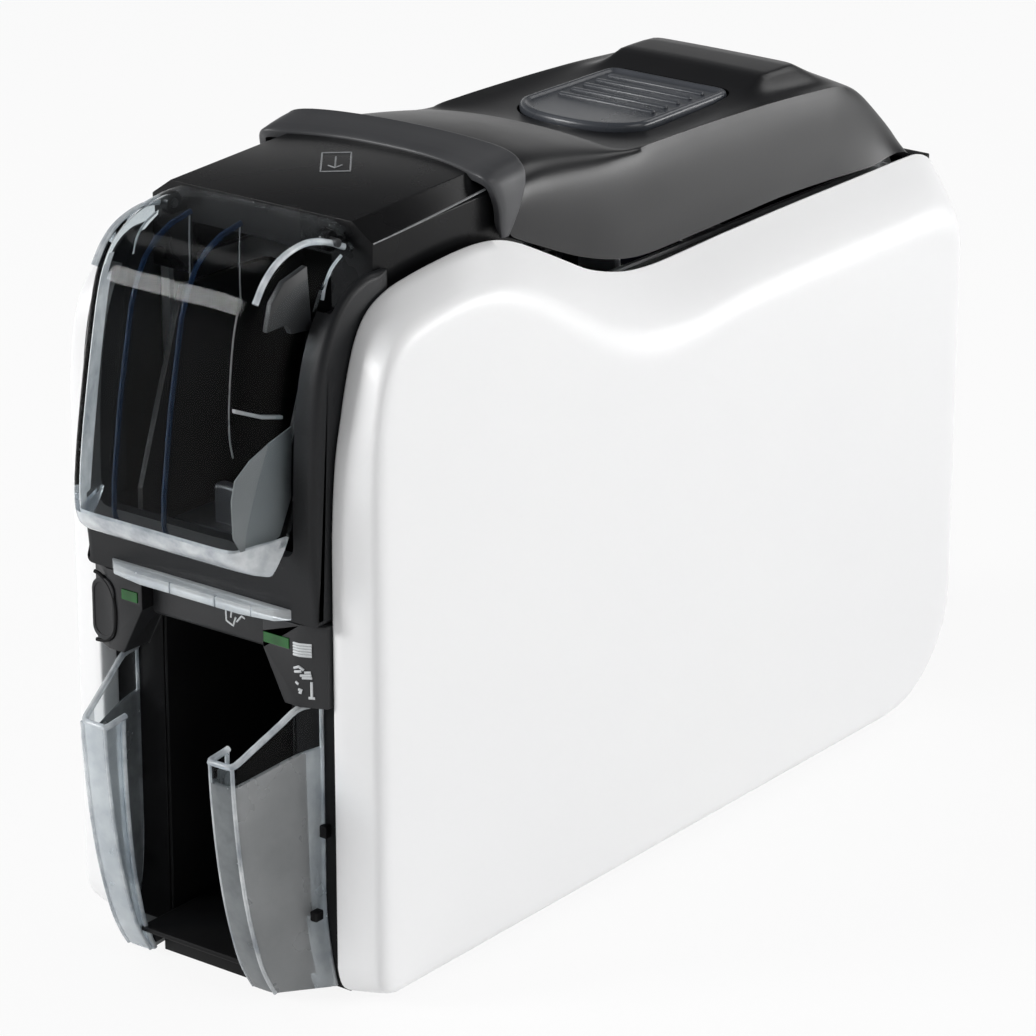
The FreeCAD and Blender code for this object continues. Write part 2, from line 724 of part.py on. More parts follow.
# Rails on the frame plates close the slot beside the cover and carry its lower edge
rail_height = 6.0
rail_setback = 42.5
rail_rear_y = rear_y - rail_setback


def cover_rails():
    top = []
    for section in cover_section_shares:
        y = cover_front_y + cover_length * section[0]
        sill_share = section[2][0]
        if y < rail_rear_y:
            top.append((y, cover_low_z + cover_rise * sill_share - skin_gap))
    top.append((rail_rear_y, cover_low_z - skin_gap))
    low = [(y, z - rail_height) for y, z in reversed(top)]
    rail = prism_x(top + low, frame_outer_x + skin_gap, cover_low_half)
    return Part.makeCompound([rail, mirrored(rail)])


# Release button in the roof of the cover, the well it stands in, and the ears of the cover's hinge
button_place_share = 0.343
button_front_y = cover_front_y + cover_length * button_place_share
button_length = 67.0
button_half_width = 27.5
button_thickness = 5.0
button_rear_radius = 4.0
button_nose_depth = 13.0
button_corner_y = button_front_y + button_nose_depth
button_well_margin = 1.2
button_travel = 3.0
button_top_drop = 15.2
button_top_z = cover_top_height - button_top_drop
well_wall = 2.0
hinge_ear_gap = 1.0
hinge_ear_inner_x = frame_outer_x + hinge_ear_gap
hinge_ear_thickness = 3.0
hinge_ear_radius = 8.0


def button_outline(margin, z0, z1):
    half = button_half_width + margin
    rear = button_front_y + button_length + margin
    corner = button_corner_y - margin / 2
    nose = button_front_y - margin
    rim = [
        Part.LineSegment(v(half, rear, z0), v(-half, rear, z0)).toShape(),
        Part.LineSegment(v(-half, rear, z0), v(-half, corner, z0)).toShape(),
        Part.Arc(v(-half, corner, z0), v(0, nose, z0), v(half, corner, z0)).toShape(),
        Part.LineSegment(v(half, corner, z0), v(half, rear, z0)).toShape(),
    ]
    body = Part.Face(Part.Wire(rim)).extrude(v(0, 0, z1 - z0))
    rears = edges_along(body, "z", lambda c: c.y > button_corner_y + button_rear_radius)
    return body.makeFillet(button_rear_radius + margin, rears)


def main_cover():
    outer = cover_loft(0, 0, cover_front_y, cover_tail_y)
    inner = cover_loft(cover_wall, cut_overrun, cover_front_y - cut_overrun, cover_tail_y)
    shell = outer.cut(inner)
    opening = button_outline(button_well_margin, frame_top_z, cover_top_height + cut_overrun)
    shell = shell.cut(opening)
    ears = []
    for side in (-1, 1):
        x0 = side * hinge_ear_inner_x
        x1 = side * (hinge_ear_inner_x + hinge_ear_thickness)
        low = min(x0, x1)
        high = max(x0, x1)
        disc = rod_x(low, high, hinge_y, hinge_z, hinge_ear_radius)
        strap = box(low, high, hinge_y - hinge_ear_radius, hinge_y + hinge_ear_radius / 2, hinge_z,
                    cover_low_z + cover_wall * 2)
        ears.append(disc.fuse(strap))
    bore = rod_x(-overall_half_width, overall_half_width, hinge_y, hinge_z,
                 hinge_pin_radius + running_clearance)
    return shell.fuse(ears).cut(bore).removeSplitter()


def button_well():
    z0 = button_top_z - button_thickness - button_travel - well_wall - skin_gap
    tub = button_outline(button_well_margin + well_wall, z0, cover_top_height)
    hollow = button_outline(button_well_margin, z0 + well_wall, cover_top_height + cut_overrun)
    stem_hole = box(-stem_half_width - part_gap, stem_half_width + part_gap,
                    latch_bar_rear_y - latch_travel - part_gap, stem_rear_y + part_gap,
                    z0 - cut_overrun, z0 + well_wall + cut_overrun)
    roof = cover_loft(cover_wall, cut_overrun, cover_front_y, cover_tail_y)
    return tub.cut(hollow).cut(stem_hole).common(roof)


button_rib_count = 5
button_rib_depth = 1.2
groove_pitch_share = 0.13
groove_reach_share = 0.8
stem_half_width = 4.0
stem_setback = 28.0
stem_rear_y = button_front_y + stem_setback


def release_button():
    z1 = button_top_z
    z0 = z1 - button_thickness
    plate = button_outline(0, z0, z1)
    grooves = []
    pitch = button_length * groove_pitch_share
    for n in range(button_rib_count + 1):
        y = button_corner_y + pitch * n
        grooves.append(box(-button_half_width * groove_reach_share, button_half_width * groove_reach_share,
                           y - button_rib_depth / 2, y + button_rib_depth / 2, z1 - button_rib_depth,
                           z1 + cut_overrun))
    wedge_high = latch_bar_top_z + skin_gap
    stem = prism_x([
        (latch_bar_rear_y - latch_travel, wedge_high),
        (latch_bar_rear_y + skin_gap, wedge_high - latch_travel),
        (stem_rear_y, wedge_high - latch_travel), (stem_rear_y, z0), (latch_bar_rear_y - latch_travel, z0),
    ], -stem_half_width, stem_half_width)
    return plate.cut(Part.makeCompound(grooves)).fuse(stem).removeSplitter()


# Latch: a cross bar under the cover with two hooks that reach down to the keeper pins
latch_bar_setback = 10.0
latch_bar_y = cover_front_y + latch_bar_setback
latch_bar_rise = 9.0
latch_bar_z = deck_rim_height + latch_bar_rise
latch_bar_size = 5.0
latch_bar_top_z = latch_bar_z + latch_bar_size
latch_wedge_setback = 20.0
latch_bar_rear_y = button_front_y + latch_wedge_setback
latch_hook_x = 39.0
latch_hook_thickness = 3.0
latch_travel = 3.0
latch_arm_x = 35.5
latch_arm_height = 3.0
latch_hook_reach = 3.0
latch_hook_drop_z = keeper_z - keeper_radius - latch_hook_reach
latch_guide_setback = 26.0
latch_guide_y = platen_y - latch_guide_setback


def latch_slider():
    z0 = latch_bar_z
    z1 = latch_bar_top_z
    hook_outer = latch_hook_x + latch_hook_thickness
    bar = box(-hook_outer, hook_outer, latch_bar_y, latch_bar_y + latch_bar_size, z0, z1)
    arms = both_sides_box(latch_arm_x, latch_arm_x + latch_arm_height, latch_bar_y,
                          latch_bar_rear_y - latch_travel, z1 - latch_arm_height, z1)
    wedge = prism_x([
        (latch_bar_rear_y - latch_bar_size, z1), (latch_bar_rear_y - latch_travel, z1),
        (latch_bar_rear_y, z1 - latch_travel), (latch_bar_rear_y - latch_bar_size, z1 - latch_travel),
    ], -latch_arm_x - latch_arm_height, latch_arm_x + latch_arm_height)
    shank = both_sides_box(latch_hook_x, hook_outer, latch_bar_y, latch_bar_y + latch_bar_size,
                           latch_hook_drop_z, z0)
    tip = both_sides_box(latch_hook_x, hook_outer, latch_bar_y, keeper_y - keeper_radius - skin_gap,
                         latch_hook_drop_z, latch_hook_drop_z + latch_hook_thickness * 2)
    return bar.fuse([arms, wedge, shank, tip]).removeSplitter()


def latch_guides():
    z0 = latch_bar_z + latch_bar_size - latch_arm_height
    guides = []
    for side in (-1, 1):
        x0 = latch_arm_x - sheet_metal
        x1 = latch_arm_x + latch_arm_height + sheet_metal
        loop = box(x0, x1, latch_guide_y, latch_guide_y + latch_bar_size, z0 - sheet_metal,
                   z0 + latch_arm_height + sheet_metal)
        hole = box(latch_arm_x - skin_gap, latch_arm_x + latch_arm_height + skin_gap,
                   latch_guide_y - cut_overrun, latch_guide_y + latch_bar_size + cut_overrun,
                   z0 - skin_gap, z0 + latch_arm_height + skin_gap)
        hanger = box(x0, x1, latch_guide_y, latch_guide_y + latch_bar_size,
                     z0 + latch_arm_height + sheet_metal, cover_top_height)
        piece = loop.cut(hole).fuse(hanger)
        guides.append(piece if side > 0 else mirrored(piece))
    inside = cover_loft(cover_wall, cut_overrun, cover_front_y, cover_tail_y)
    return Part.makeCompound([g.common(inside).removeSplitter() for g in guides])


def keeper_pins():
    pin = rod_x(latch_hook_x, frame_inner_x, keeper_y, keeper_z, keeper_radius)
    return [pin, mirrored(pin)]


def hinge_pins():
    head = rod_x(frame_inner_x - sheet_metal, frame_inner_x, hinge_y, hinge_z, hinge_pin_radius + sheet_metal)
    shank = rod_x(frame_inner_x, hinge_ear_inner_x + hinge_ear_thickness, hinge_y, hinge_z,
                  hinge_pin_radius)
    pin = head.fuse(shank).removeSplitter()
    return [pin, mirrored(pin)]


# Hopper cap in front of the cover: a bevelled block that rises a little to the rear
cap_half_width = 48.0
cap_setback = 60.0
cap_front_y = front_y + cap_setback
cap_rear_gap = 6.0
cap_rear_y = cover_front_y - cap_rear_gap
cap_front_drop = 6.5
cap_rear_drop = 3.4
cap_front_top_z = cover_top_height - cap_front_drop
cap_rear_top_z = cover_top_height - cap_rear_drop
cap_bevel_run = 8.5
cap_bevel_drop = 6.0
cap_wall = 2.6
door_hinge_gap = 6.5
door_hinge_y = cap_front_y - door_hinge_gap
door_hinge_drop = 12.5
door_hinge_z = cover_top_height - door_hinge_drop
door_edge_radius = 5.8
door_pin_radius = 1.5
cap_lug_radius = 3.6
cap_lug_inner_x = 32.0
cap_lug_thickness = 3.5


def cap_block(outset, y0, y1, floor_z):
    wires = []
    for y, top in ((cap_front_y, cap_front_top_z), (cap_rear_y, cap_rear_top_z)):
        half = cap_half_width + outset
        high = top + outset
        right = [v(half, y, floor_z), v(half, y, high - cap_bevel_drop), v(half - cap_bevel_run, y, high)]
        left = [v(-p.x, p.y, p.z) for p in reversed(right)]
        wires.append(Part.makePolygon(right + left + [right[0]]))
    return Part.makeLoft(wires, True, True).common(
        box(-overall_half_width, overall_half_width, y0, y1, floor_z, cover_top_height + cut_overrun))


def hopper_cap():
    outer = cap_block(0, cap_front_y, cap_rear_y, cap_sill_z)
    inner = cap_block(-cap_wall, cap_front_y + cap_wall, cap_rear_y - cap_wall, cap_sill_z - cut_overrun)
    shell = outer.cut(inner)
    mouth_half = magazine_inner_half + magazine_wall
    mouth = box(-mouth_half, mouth_half, cap_front_y - cut_overrun, cap_front_y + cap_wall + cut_overrun,
                cap_sill_z - cut_overrun, door_hinge_z - cap_lug_radius * 2)
    lugs = []
    for side in (-1, 1):
        x0 = side * cap_lug_inner_x
        x1 = side * (cap_lug_inner_x + cap_lug_thickness)
        low = min(x0, x1)
        high = max(x0, x1)
        arm = box(low, high, door_hinge_y, cap_front_y, door_hinge_z - cap_lug_radius, door_hinge_z)
        lugs.append(arm.fuse(rod_x(low, high, door_hinge_y, door_hinge_z, cap_lug_radius)))
    bore = rod_x(-core_half_width, core_half_width, door_hinge_y, door_hinge_z,
                 door_pin_radius + running_clearance)
    return shell.cut(mouth).fuse(lugs).cut(bore).removeSplitter()


# Clear hopper door: leaning front, sloping top and lip, side walls that flare back to the fascia
door_wall = 2.4
door_front_half = 36.0
door_back_half = 42.0
door_low_rise = 13.0
door_low_z = card_path_height + door_low_rise
door_high_z = cap_front_top_z
door_depth = 58.5
# Height, front edge and back edge of each level, as shares of the door's height and depth
door_level_shares = [
    (0.000, 0.265, 0.370), (0.037, 0.130, 0.390), (0.090, 0.000, 0.436), (0.250, 0.010, 0.500),
    (0.480, 0.094, 0.580), (0.673, 0.197, 0.660), (0.800, 0.367, 0.810), (0.903, 0.590, 0.990),
    (0.968, 0.810, 1.000), (1.000, 0.950, 1.000),
]
door_shoulder_share = 0.12
door_cheek_share = 0.55
door_nose_share = 0.93


def door_wire(level, inset, back_reach):
    z = door_low_z + (door_high_z - door_low_z) * level[0]
    y_front = front_y + door_depth * level[1] + inset
    y_back = front_y + door_depth * level[2] + back_reach
    front = door_front_half - inset
    back = door_back_half - inset
    flare = (front + back) / 2
    shoulder = y_front + (y_back - y_front) * door_shoulder_share
    cheek = y_front + (y_back - y_front) * door_cheek_share
    half = [(front * door_nose_share, y_front), (front, shoulder), (flare, cheek), (back, y_back)]
    ring = [v(x, y, z) for x, y in half] + [v(-x, y, z) for x, y in reversed(half)]
    return Part.makePolygon(ring + [ring[0]])


def input_door():
    outer = Part.makeLoft([door_wire(level, 0, 0) for level in door_level_shares], True, True)
    inner_wires = [door_wire(level, door_wall, cut_overrun) for level in door_level_shares]
    inner = Part.makeLoft(inner_wires, True, True)
    lowered = inner.copy()
    lowered.translate(v(0, 0, -door_wall))
    raised = inner.copy()
    raised.translate(v(0, 0, door_wall))
    shell = outer.cut(inner.common(lowered).common(raised))
    behind = box(-overall_half_width, overall_half_width, door_hinge_y, cap_front_y, door_hinge_z,
                 cover_top_height)
    edge = rod_x(-overall_half_width, overall_half_width, door_hinge_y, door_hinge_z, door_edge_radius)
    lug_room = both_sides_box(cap_lug_inner_x - part_gap, cap_lug_inner_x + cap_lug_thickness + part_gap,
                              door_hinge_y - cap_lug_radius * 2, cap_front_y,
                              door_hinge_z - cap_lug_radius * 2, cover_top_height)
    pin = door_hinge_pin()
    return shell.cut(behind.cut(edge)).cut(lug_room).cut(pin).cut(mirrored(pin)).removeSplitter()


def door_hinge_pin():
    return rod_x(cap_lug_inner_x - skin_gap, door_back_half - door_edge_radius / 2, door_hinge_y,
                 door_hinge_z, door_pin_radius)


# Fascia: upper frame round the door, lower frame with the two control pods
seam_drop = 9.0
seam_z = card_path_height - seam_drop
fascia_corner_run = 4.0
fascia_side_y = fascia_front_y + fascia_corner_run
fascia_half = core_half_width - part_gap / 2
fascia_wall = 3.0
bay_half_width = 28.0
bay_side_gap = 1.5
pod_height = 30.0
pod_low_z = seam_z - pod_height
cheek_thickness = 9.0
cheek_rear_y = cheek_front_y + cheek_thickness
upper_frame_shares = [
    (0.0, 0.00), (0.0, 0.08), (-0.06, 0.22), (-0.02, 0.40), (0.05, 0.62), (0.13, 0.80), (0.30, 0.93),
    (0.64, 1.0),
]
upper_frame_rise = 2.0
upper_frame_top_z = nose_rim_height + upper_frame_rise
upper_frame_depth = 36.0
door_seat_gap = 0.8
mouth_rise = 14.5
fascia_mouth_low_z = card_path_height + mouth_rise
cavity_front_wall = 12.0


def upper_fascia():
    rise = upper_frame_top_z - seam_z
    front = [(fascia_front_y + upper_frame_depth * a, seam_z + rise * b) for a, b in upper_frame_shares]
    back = [(frame_front_y - part_gap, front[-1][1]), (frame_front_y - part_gap, seam_z)]
    solid = prism_x(front + back, -fascia_half, fascia_half)
    seat = door_back_half + door_seat_gap
    mouth = box(-seat, seat, front_y, frame_front_y + cut_overrun, fascia_mouth_low_z, cover_top_height)
    pocket = box(-seat, seat, fascia_front_y + fascia_wall, frame_front_y + cut_overrun,
                 magazine_floor_z - part_gap, fascia_mouth_low_z + cut_overrun)
    hollow_x = fascia_half - fascia_wall
    cavity = box(-hollow_x, hollow_x, fascia_front_y + cavity_front_wall, frame_front_y + cut_overrun,
                 seam_z + fascia_wall, cover_top_height)
    cap_room = box(-cap_half_width - part_gap, cap_half_width + part_gap, cap_front_y - part_gap,
                   frame_front_y + cut_overrun, cap_sill_z - part_gap, cover_top_height)
    return solid.cut(mouth).cut(pocket).cut(cavity).cut(cap_room).removeSplitter()


pod_inner_x = 27.0
pod_chamfer = 9.0
power_x = -44.5
power_drop = 15.5
power_z = seam_z - power_drop
power_half_width = 5.0
power_half_height = 11.5
power_travel = 1.2
lens_left_x = -32.5
lens_right_x = 33.0
lens_drop = 8.0
lens_z = seam_z - lens_drop
lens_half_width = 3.5
lens_right_half_width = 5.5
lens_half_height = 1.8
centre_plate_height = 15.0
centre_plate_low_z = seam_z - centre_plate_height
centre_plate_recess = 5.0
centre_plate_front_y = fascia_front_y + centre_plate_recess
lens_depth = 2.5
button_dish_depth = 0.8
button_proud = 0.6
dish_width_share = 0.80
dish_height_share = 0.85


def control_pod(side):
    inner = pod_inner_x
    outer = fascia_half
    points = [
        (inner + pod_chamfer, pod_low_z), (outer, pod_low_z), (outer, seam_z - skin_gap),
        (inner, seam_z - skin_gap), (inner, pod_low_z + pod_chamfer * 2),
    ]
    pod = prism_y([(side * x, z) for x, z in points], fascia_front_y, cheek_front_y)
    corner = [
        (outer + cut_overrun, fascia_front_y - cut_overrun),
        (outer - pod_chamfer, fascia_front_y - cut_overrun), (outer - pod_chamfer, fascia_front_y),
        (outer, fascia_side_y), (outer + cut_overrun, fascia_side_y),
    ]
    wedge = prism_z([(side * x, y) for x, y in corner], pod_low_z - cut_overrun, seam_z + cut_overrun)
    return pod.cut(wedge)


def lower_fascia():
    cheeks = both_sides_box(bay_half_width + bay_side_gap, fascia_half, cheek_front_y, cheek_rear_y,
                            base_top_z, seam_z - skin_gap)
    lintel = box(-fascia_half, fascia_half, cheek_front_y, cheek_rear_y, centre_plate_low_z,
                 seam_z - skin_gap)
    shape = cheeks.fuse([lintel, control_pod(-1), control_pod(1)])
    button_hole = slot_y(power_x, power_z, power_half_width + skin_gap, power_half_height + skin_gap,
                         fascia_front_y - cut_overrun, cheek_rear_y + cut_overrun)
    lens_l = box(lens_left_x - lens_half_width, lens_left_x + lens_half_width, fascia_front_y - cut_overrun,
                 fascia_front_y + lens_depth, lens_z - lens_half_height, lens_z + lens_half_height)
    lens_r = box(lens_right_x - lens_right_half_width, lens_right_x + lens_right_half_width,
                 fascia_front_y - cut_overrun, fascia_front_y + lens_depth, lens_z - lens_half_height,
                 lens_z + lens_half_height)
    return shape.removeSplitter().cut(button_hole).cut(lens_l).cut(lens_r)


def status_lens(x, half):
    return box(x - half, x + half, fascia_front_y - skin_gap, fascia_front_y + lens_depth,
               lens_z - lens_half_height, lens_z + lens_half_height)


def centre_plate():
    inset = pod_inner_x - skin_gap
    plate = box(-inset, inset, centre_plate_front_y, cheek_front_y, centre_plate_low_z, seam_z - skin_gap)
    low_edges = edges_along(plate, "x", lambda c: c.y < cheek_front_y and c.z < seam_z - lens_depth * 2)
    return smoothed(plate, low_edges, lens_depth)


def power_button():
    proud_y = fascia_front_y - button_proud
    cap = slot_y(power_x, power_z, power_half_width, power_half_height, proud_y, cheek_front_y)
    dish = slot_y(power_x, power_z, power_half_width * dish_width_share,
                  power_half_height * dish_height_share, fascia_front_y - cut_overrun,
                  proud_y + button_dish_depth / 2)
    return cap.cut(dish)


switch_half = 3.0
switch_flange_half = 7.0


def power_switch():
    body = box(power_x - switch_half, power_x + switch_half, cheek_front_y + power_travel + skin_gap,
               cheek_rear_y, power_z - switch_half, power_z + switch_half)
    flange = box(power_x - switch_flange_half, power_x + switch_flange_half, cheek_rear_y,
                 cheek_rear_y + sheet_metal, power_z - switch_flange_half, power_z + switch_flange_half)
    return body.fuse(flange).removeSplitter()


# Clear light guide that lips out under the door, at the single-card slot
lip_half_width = 40.0
lip_depth = 6.5
lip_low_z = seam_z + part_gap
lip_height = 4.0
lip_end_run = 9.0


def slot_light_guide():
    y0 = fascia_front_y - lip_depth
    y1 = fascia_front_y
    outline = [(-lip_half_width, y1), (-lip_half_width + lip_end_run / 2, y0 + lip_depth / 3),
               (-lip_half_width + lip_end_run * 2, y0), (lip_half_width - lip_end_run * 2, y0),
               (lip_half_width - lip_end_run / 2, y0 + lip_depth / 3), (lip_half_width, y1)]
    return prism_z(outline, lip_low_z, lip_low_z + lip_height)


# Output chute behind the bay and the clear two-winged output bin
chute_wall = 1.2
chute_rear_setback = 105.5
chute_rear_y = front_y + chute_rear_setback
chute_top_drop = 17.0
chute_ramp_drop = 41.0
chute_top_z = seam_z - chute_top_drop
chute_ramp_z = seam_z - chute_ramp_drop
chute_chamfer = 4.8
chute_mouth_drop = 3.6


def output_chute():
    outer_half = bay_half_width + chute_wall
    block = box(-outer_half, outer_half, cheek_front_y, chute_rear_y, base_top_z, chute_top_z)
    hollow = prism_x([
        (cheek_front_y - cut_overrun, base_top_z + chute_wall),
        (chute_rear_y - chute_wall, base_top_z + chute_wall),
        (chute_rear_y - chute_wall, chute_ramp_z), (chute_rear_y - chute_chamfer, chute_top_z - chute_wall),
        (cheek_front_y - cut_overrun, chute_top_z - chute_wall)], -bay_half_width, bay_half_width)
    exit_mouth = box(-bay_half_width, bay_half_width, chute_rear_y - chute_wall - cut_overrun,
                     chute_rear_y + cut_overrun, chute_ramp_z, chute_top_z - chute_mouth_drop)
    return block.cut(hollow).cut(exit_mouth)


bin_wall = 2.0
bin_inner_half = 22.5
bin_front_half = 34.0
bin_outer_half = 38.0
bin_low_gap = 1.0
bin_low_z = foot_height + bin_low_gap
bin_front_top_drop = 46.0
bin_rear_top_drop = 31.0
bin_front_top_z = seam_z - bin_front_top_drop
bin_rear_top_z = seam_z - bin_rear_top_drop
bin_depth = 38.0
bin_rear_y = cheek_front_y - skin_gap
bin_floor_z = base_top_z + base_lip_height + skin_gap
bin_floor_rear_setback = 87.5
bin_floor_rear_y = front_y + bin_floor_rear_setback
bin_floor_front_share = 0.45
bin_floor_side_share = 0.60
bin_corner_share = 0.70
bin_inner_corner_share = 0.75
# Face of the wing, from its foot up: setback as a share of depth, height as a share of the rise
bin_face_shares = [(0.50, 0.0), (0.34, 0.12), (0.18, 0.30), (0.07, 0.55), (0.0, 0.86)]
bin_rim_shares = [(0.10, 0.92), (0.68, 1.07)]


def bin_points(shares):
    rise = bin_front_top_z + (bin_rear_top_z - bin_front_top_z) / 2 - bin_low_z
    return [(front_y + bin_depth * a, bin_low_z + rise * b) for a, b in shares]


def bin_corner(front_half, side_half, share):
    wide = bin_outer_half + cut_overrun
    ahead = front_y - cut_overrun
    turn = front_y + bin_depth * share
    return prism_z([(front_half, ahead), (wide, ahead), (wide, turn), (side_half, turn)], 0,
                   bin_rear_top_z * 2)


def bin_wing():
    face = bin_points(bin_face_shares)
    rim = bin_points(bin_rim_shares)
    top_z = rim[-1][1]
    floor_z = bin_low_z + bin_wall
    outer = prism_x(face + rim + [(bin_rear_y, top_z - bin_wall), (bin_rear_y, bin_low_z)], bin_inner_half,
                    bin_outer_half)
    back = [(y + bin_wall, z) for y, z in face]
    back[0] = (back[0][0], floor_z)
    back.append((back[-1][0], top_z + cut_overrun))
    back.append((bin_rear_y + cut_overrun, top_z + cut_overrun))
    back.append((bin_rear_y + cut_overrun, floor_z))
    inner = prism_x(back, bin_inner_half - cut_overrun, bin_outer_half - bin_wall)
    outer = outer.cut(bin_corner(bin_front_half, bin_outer_half, bin_corner_share))
    inner = inner.cut(bin_corner(bin_front_half - bin_wall, bin_outer_half - bin_wall,
                                 bin_inner_corner_share))
    return outer.cut(inner)


def bin_floor():
    half = bin_inner_half + bin_wall
    tongue_front = front_y + bin_depth * bin_floor_front_share
    side_front = front_y + bin_depth * bin_floor_side_share
    plate = box(-half, half, tongue_front, bin_floor_rear_y, bin_floor_z, bin_floor_z + bin_wall)
    sides = both_sides_box(bin_inner_half, half, side_front, bin_rear_y, bin_low_z + bin_wall, bin_floor_z)
    return plate.fuse(sides).removeSplitter()


# Rear panel with the sockets, and the board on the left
rear_panel_setback = 5.0
rear_panel_y = rear_y - rear_panel_setback
rear_panel_thickness = 2.5
rear_panel_top_gap = 3.0
rear_panel_top_z = deck_rim_height - rear_panel_top_gap
shelf_depth = 3.5
inlet_x = -22.0
inlet_z = 66.0
inlet_radius = 4.0
inlet_pin_radius = 1.2
inlet_body_half = 7.0
inlet_depth = 14.0
usb_x = 6.0
usb_z = 66.0
usb_half_width = 6.0
usb_half_height = 5.5
usb_wall = 0.8
usb_depth = 14.0
lock_slot_x = 34.0
lock_slot_z = 90.0
lock_slot_half_width = 3.5
lock_slot_half_height = 1.5
vent_count = 6
vent_pitch = 7.0
vent_half_width = 28.0
vent_low_z = 110.0
vent_height = 2.6


def rear_panel():
    centre_y = rear_y - panel_rear_corner_radius
    centre_z = foot_height + panel_rear_corner_radius
    outer = rear_panel_y + rear_panel_thickness - centre_y
    inner = outer - rear_panel_thickness
    bend = ring_x(-fascia_half, fascia_half, centre_y, centre_z, outer, inner)
    quarter = box(-fascia_half, fascia_half, centre_y + part_gap, rear_y, foot_height, centre_z)
    low_y = rear_panel_y - cut_overrun
    high_y = rear_panel_y + cut_overrun
    panel = box(-fascia_half, fascia_half, rear_panel_y, rear_panel_y + rear_panel_thickness, centre_z,
                rear_panel_top_z)
    shelf = box(-fascia_half, fascia_half, rear_panel_y - shelf_depth, rear_panel_y,
                rear_panel_top_z - rear_panel_thickness, rear_panel_top_z)
    cuts = [
        box(inlet_x - inlet_body_half, inlet_x + inlet_body_half, low_y, high_y, inlet_z - inlet_body_half,
            inlet_z + inlet_body_half),
        box(usb_x - usb_half_width, usb_x + usb_half_width, low_y, high_y, usb_z - usb_half_height,
            usb_z + usb_half_height),
        box(lock_slot_x - lock_slot_half_width, lock_slot_x + lock_slot_half_width, low_y, high_y,
            lock_slot_z - lock_slot_half_height, lock_slot_z + lock_slot_half_height),
    ]
    for n in range(vent_count):
        z = vent_low_z + vent_pitch * n
        cuts.append(box(-vent_half_width, vent_half_width, low_y, high_y, z, z + vent_height))
    return bend.common(quarter).fuse([panel, shelf]).cut(Part.makeCompound(cuts)).removeSplitter()


def power_inlet():
    half = inlet_body_half - skin_gap
    y1 = rear_panel_y + rear_panel_thickness
    body = box(inlet_x - half, inlet_x + half, y1 - inlet_depth, y1, inlet_z - half, inlet_z + half)
    well = rod_y(inlet_x, y1 - inlet_depth + sheet_metal, y1 + cut_overrun, inlet_z, inlet_radius)
    pin = rod_y(inlet_x, y1 - inlet_depth, y1 - sheet_metal, inlet_z, inlet_pin_radius)
    return body.cut(well).fuse(pin).removeSplitter()


def usb_socket():
    half_w = usb_half_width - skin_gap
    half_h = usb_half_height - skin_gap
    y1 = rear_panel_y + rear_panel_thickness
    shell = box(usb_x - half_w, usb_x + half_w, y1 - usb_depth, y1, usb_z - half_h, usb_z + half_h)
    hollow = box(usb_x - half_w + usb_wall, usb_x + half_w - usb_wall, y1 - usb_depth + sheet_metal,
                 y1 + cut_overrun, usb_z - half_h + usb_wall, usb_z + half_h - usb_wall)
    tongue = box(usb_x - half_w / 2, usb_x + half_w / 2, y1 - usb_depth, y1 - sheet_metal, usb_z - usb_wall,
                 usb_z + usb_wall)
    return shell.cut(hollow).fuse(tongue).removeSplitter()


board_thickness = 1.6
board_gap = 3.0
board_x = -(frame_outer_x + board_gap)
board_front_setback = 137.5
board_rear_setback = 47.5
board_top_drop = 31.0
board_y0 = front_y + board_front_setback
board_y1 = rear_y - board_rear_setback
board_z0 = 28.0
board_z1 = frame_top_z - board_top_drop
standoff_radius = 3.0
board_margin = 10.0
chip_height = 3.0
chip_half = 9.0


def io_board():
    y1 = rear_panel_y + rear_panel_thickness - inlet_depth
    x0 = inlet_x - inlet_body_half - board_margin
    x1 = usb_x + usb_half_width + board_margin
    z0 = inlet_z - board_margin
    z1 = inlet_z + board_margin
    board = box(x0, x1, y1 - board_thickness, y1, z0, z1)
    posts = []
    for x in (x0 + standoff_radius, x1 - standoff_radius):
        posts.append(rod_y(x, y1, rear_panel_y, inlet_z, standoff_radius))
    return board.fuse(posts).removeSplitter()


def main_board():
    sheet = box(board_x - board_thickness, board_x, board_y0, board_y1, board_z0, board_z1)
    posts = [rod_x(board_x, -frame_outer_x, y, z, standoff_radius) for y, z in board_corners()]
    return sheet.fuse(posts + board_chips()).removeSplitter()


def board_corners():
    return [(y, z) for y in (board_y0 + board_margin, board_y1 - board_margin)
            for z in (board_z0 + board_margin, board_z1 - board_margin)]


chip_place_shares = [(0.25, 0.70), (0.55, 0.72), (0.40, 0.35), (0.80, 0.40)]


def board_chips():
    x1 = board_x - board_thickness
    chips = []
    for sy, sz in chip_place_shares:
        y = board_y0 + (board_y1 - board_y0) * sy
        z = board_z0 + (board_z1 - board_z0) * sz
        chips.append(box(x1 - chip_height, x1, y - chip_half, y + chip_half, z - chip_half, z + chip_half))
    return chips


screw_head_radius = 3.0
screw_head_height = 1.6
screw_inset = 8.0


def rear_screws():
    y0 = rear_panel_y + rear_panel_thickness
    screws = []
    for x in (-fascia_half + screw_inset, fascia_half - screw_inset):
        for z in (foot_height + panel_rear_corner_radius + screw_inset, rear_panel_top_z - screw_inset):
            head = rod_y(x, y0, y0 + screw_head_height, z, screw_head_radius)
            cross = box(x - screw_head_radius / 2, x + screw_head_radius / 2, y0 + screw_head_height / 2,
                        y0 + screw_head_height + cut_overrun, z - skin_gap, z + skin_gap)
            screws.append(head.cut(cross))
    return Part.makeCompound(screws)


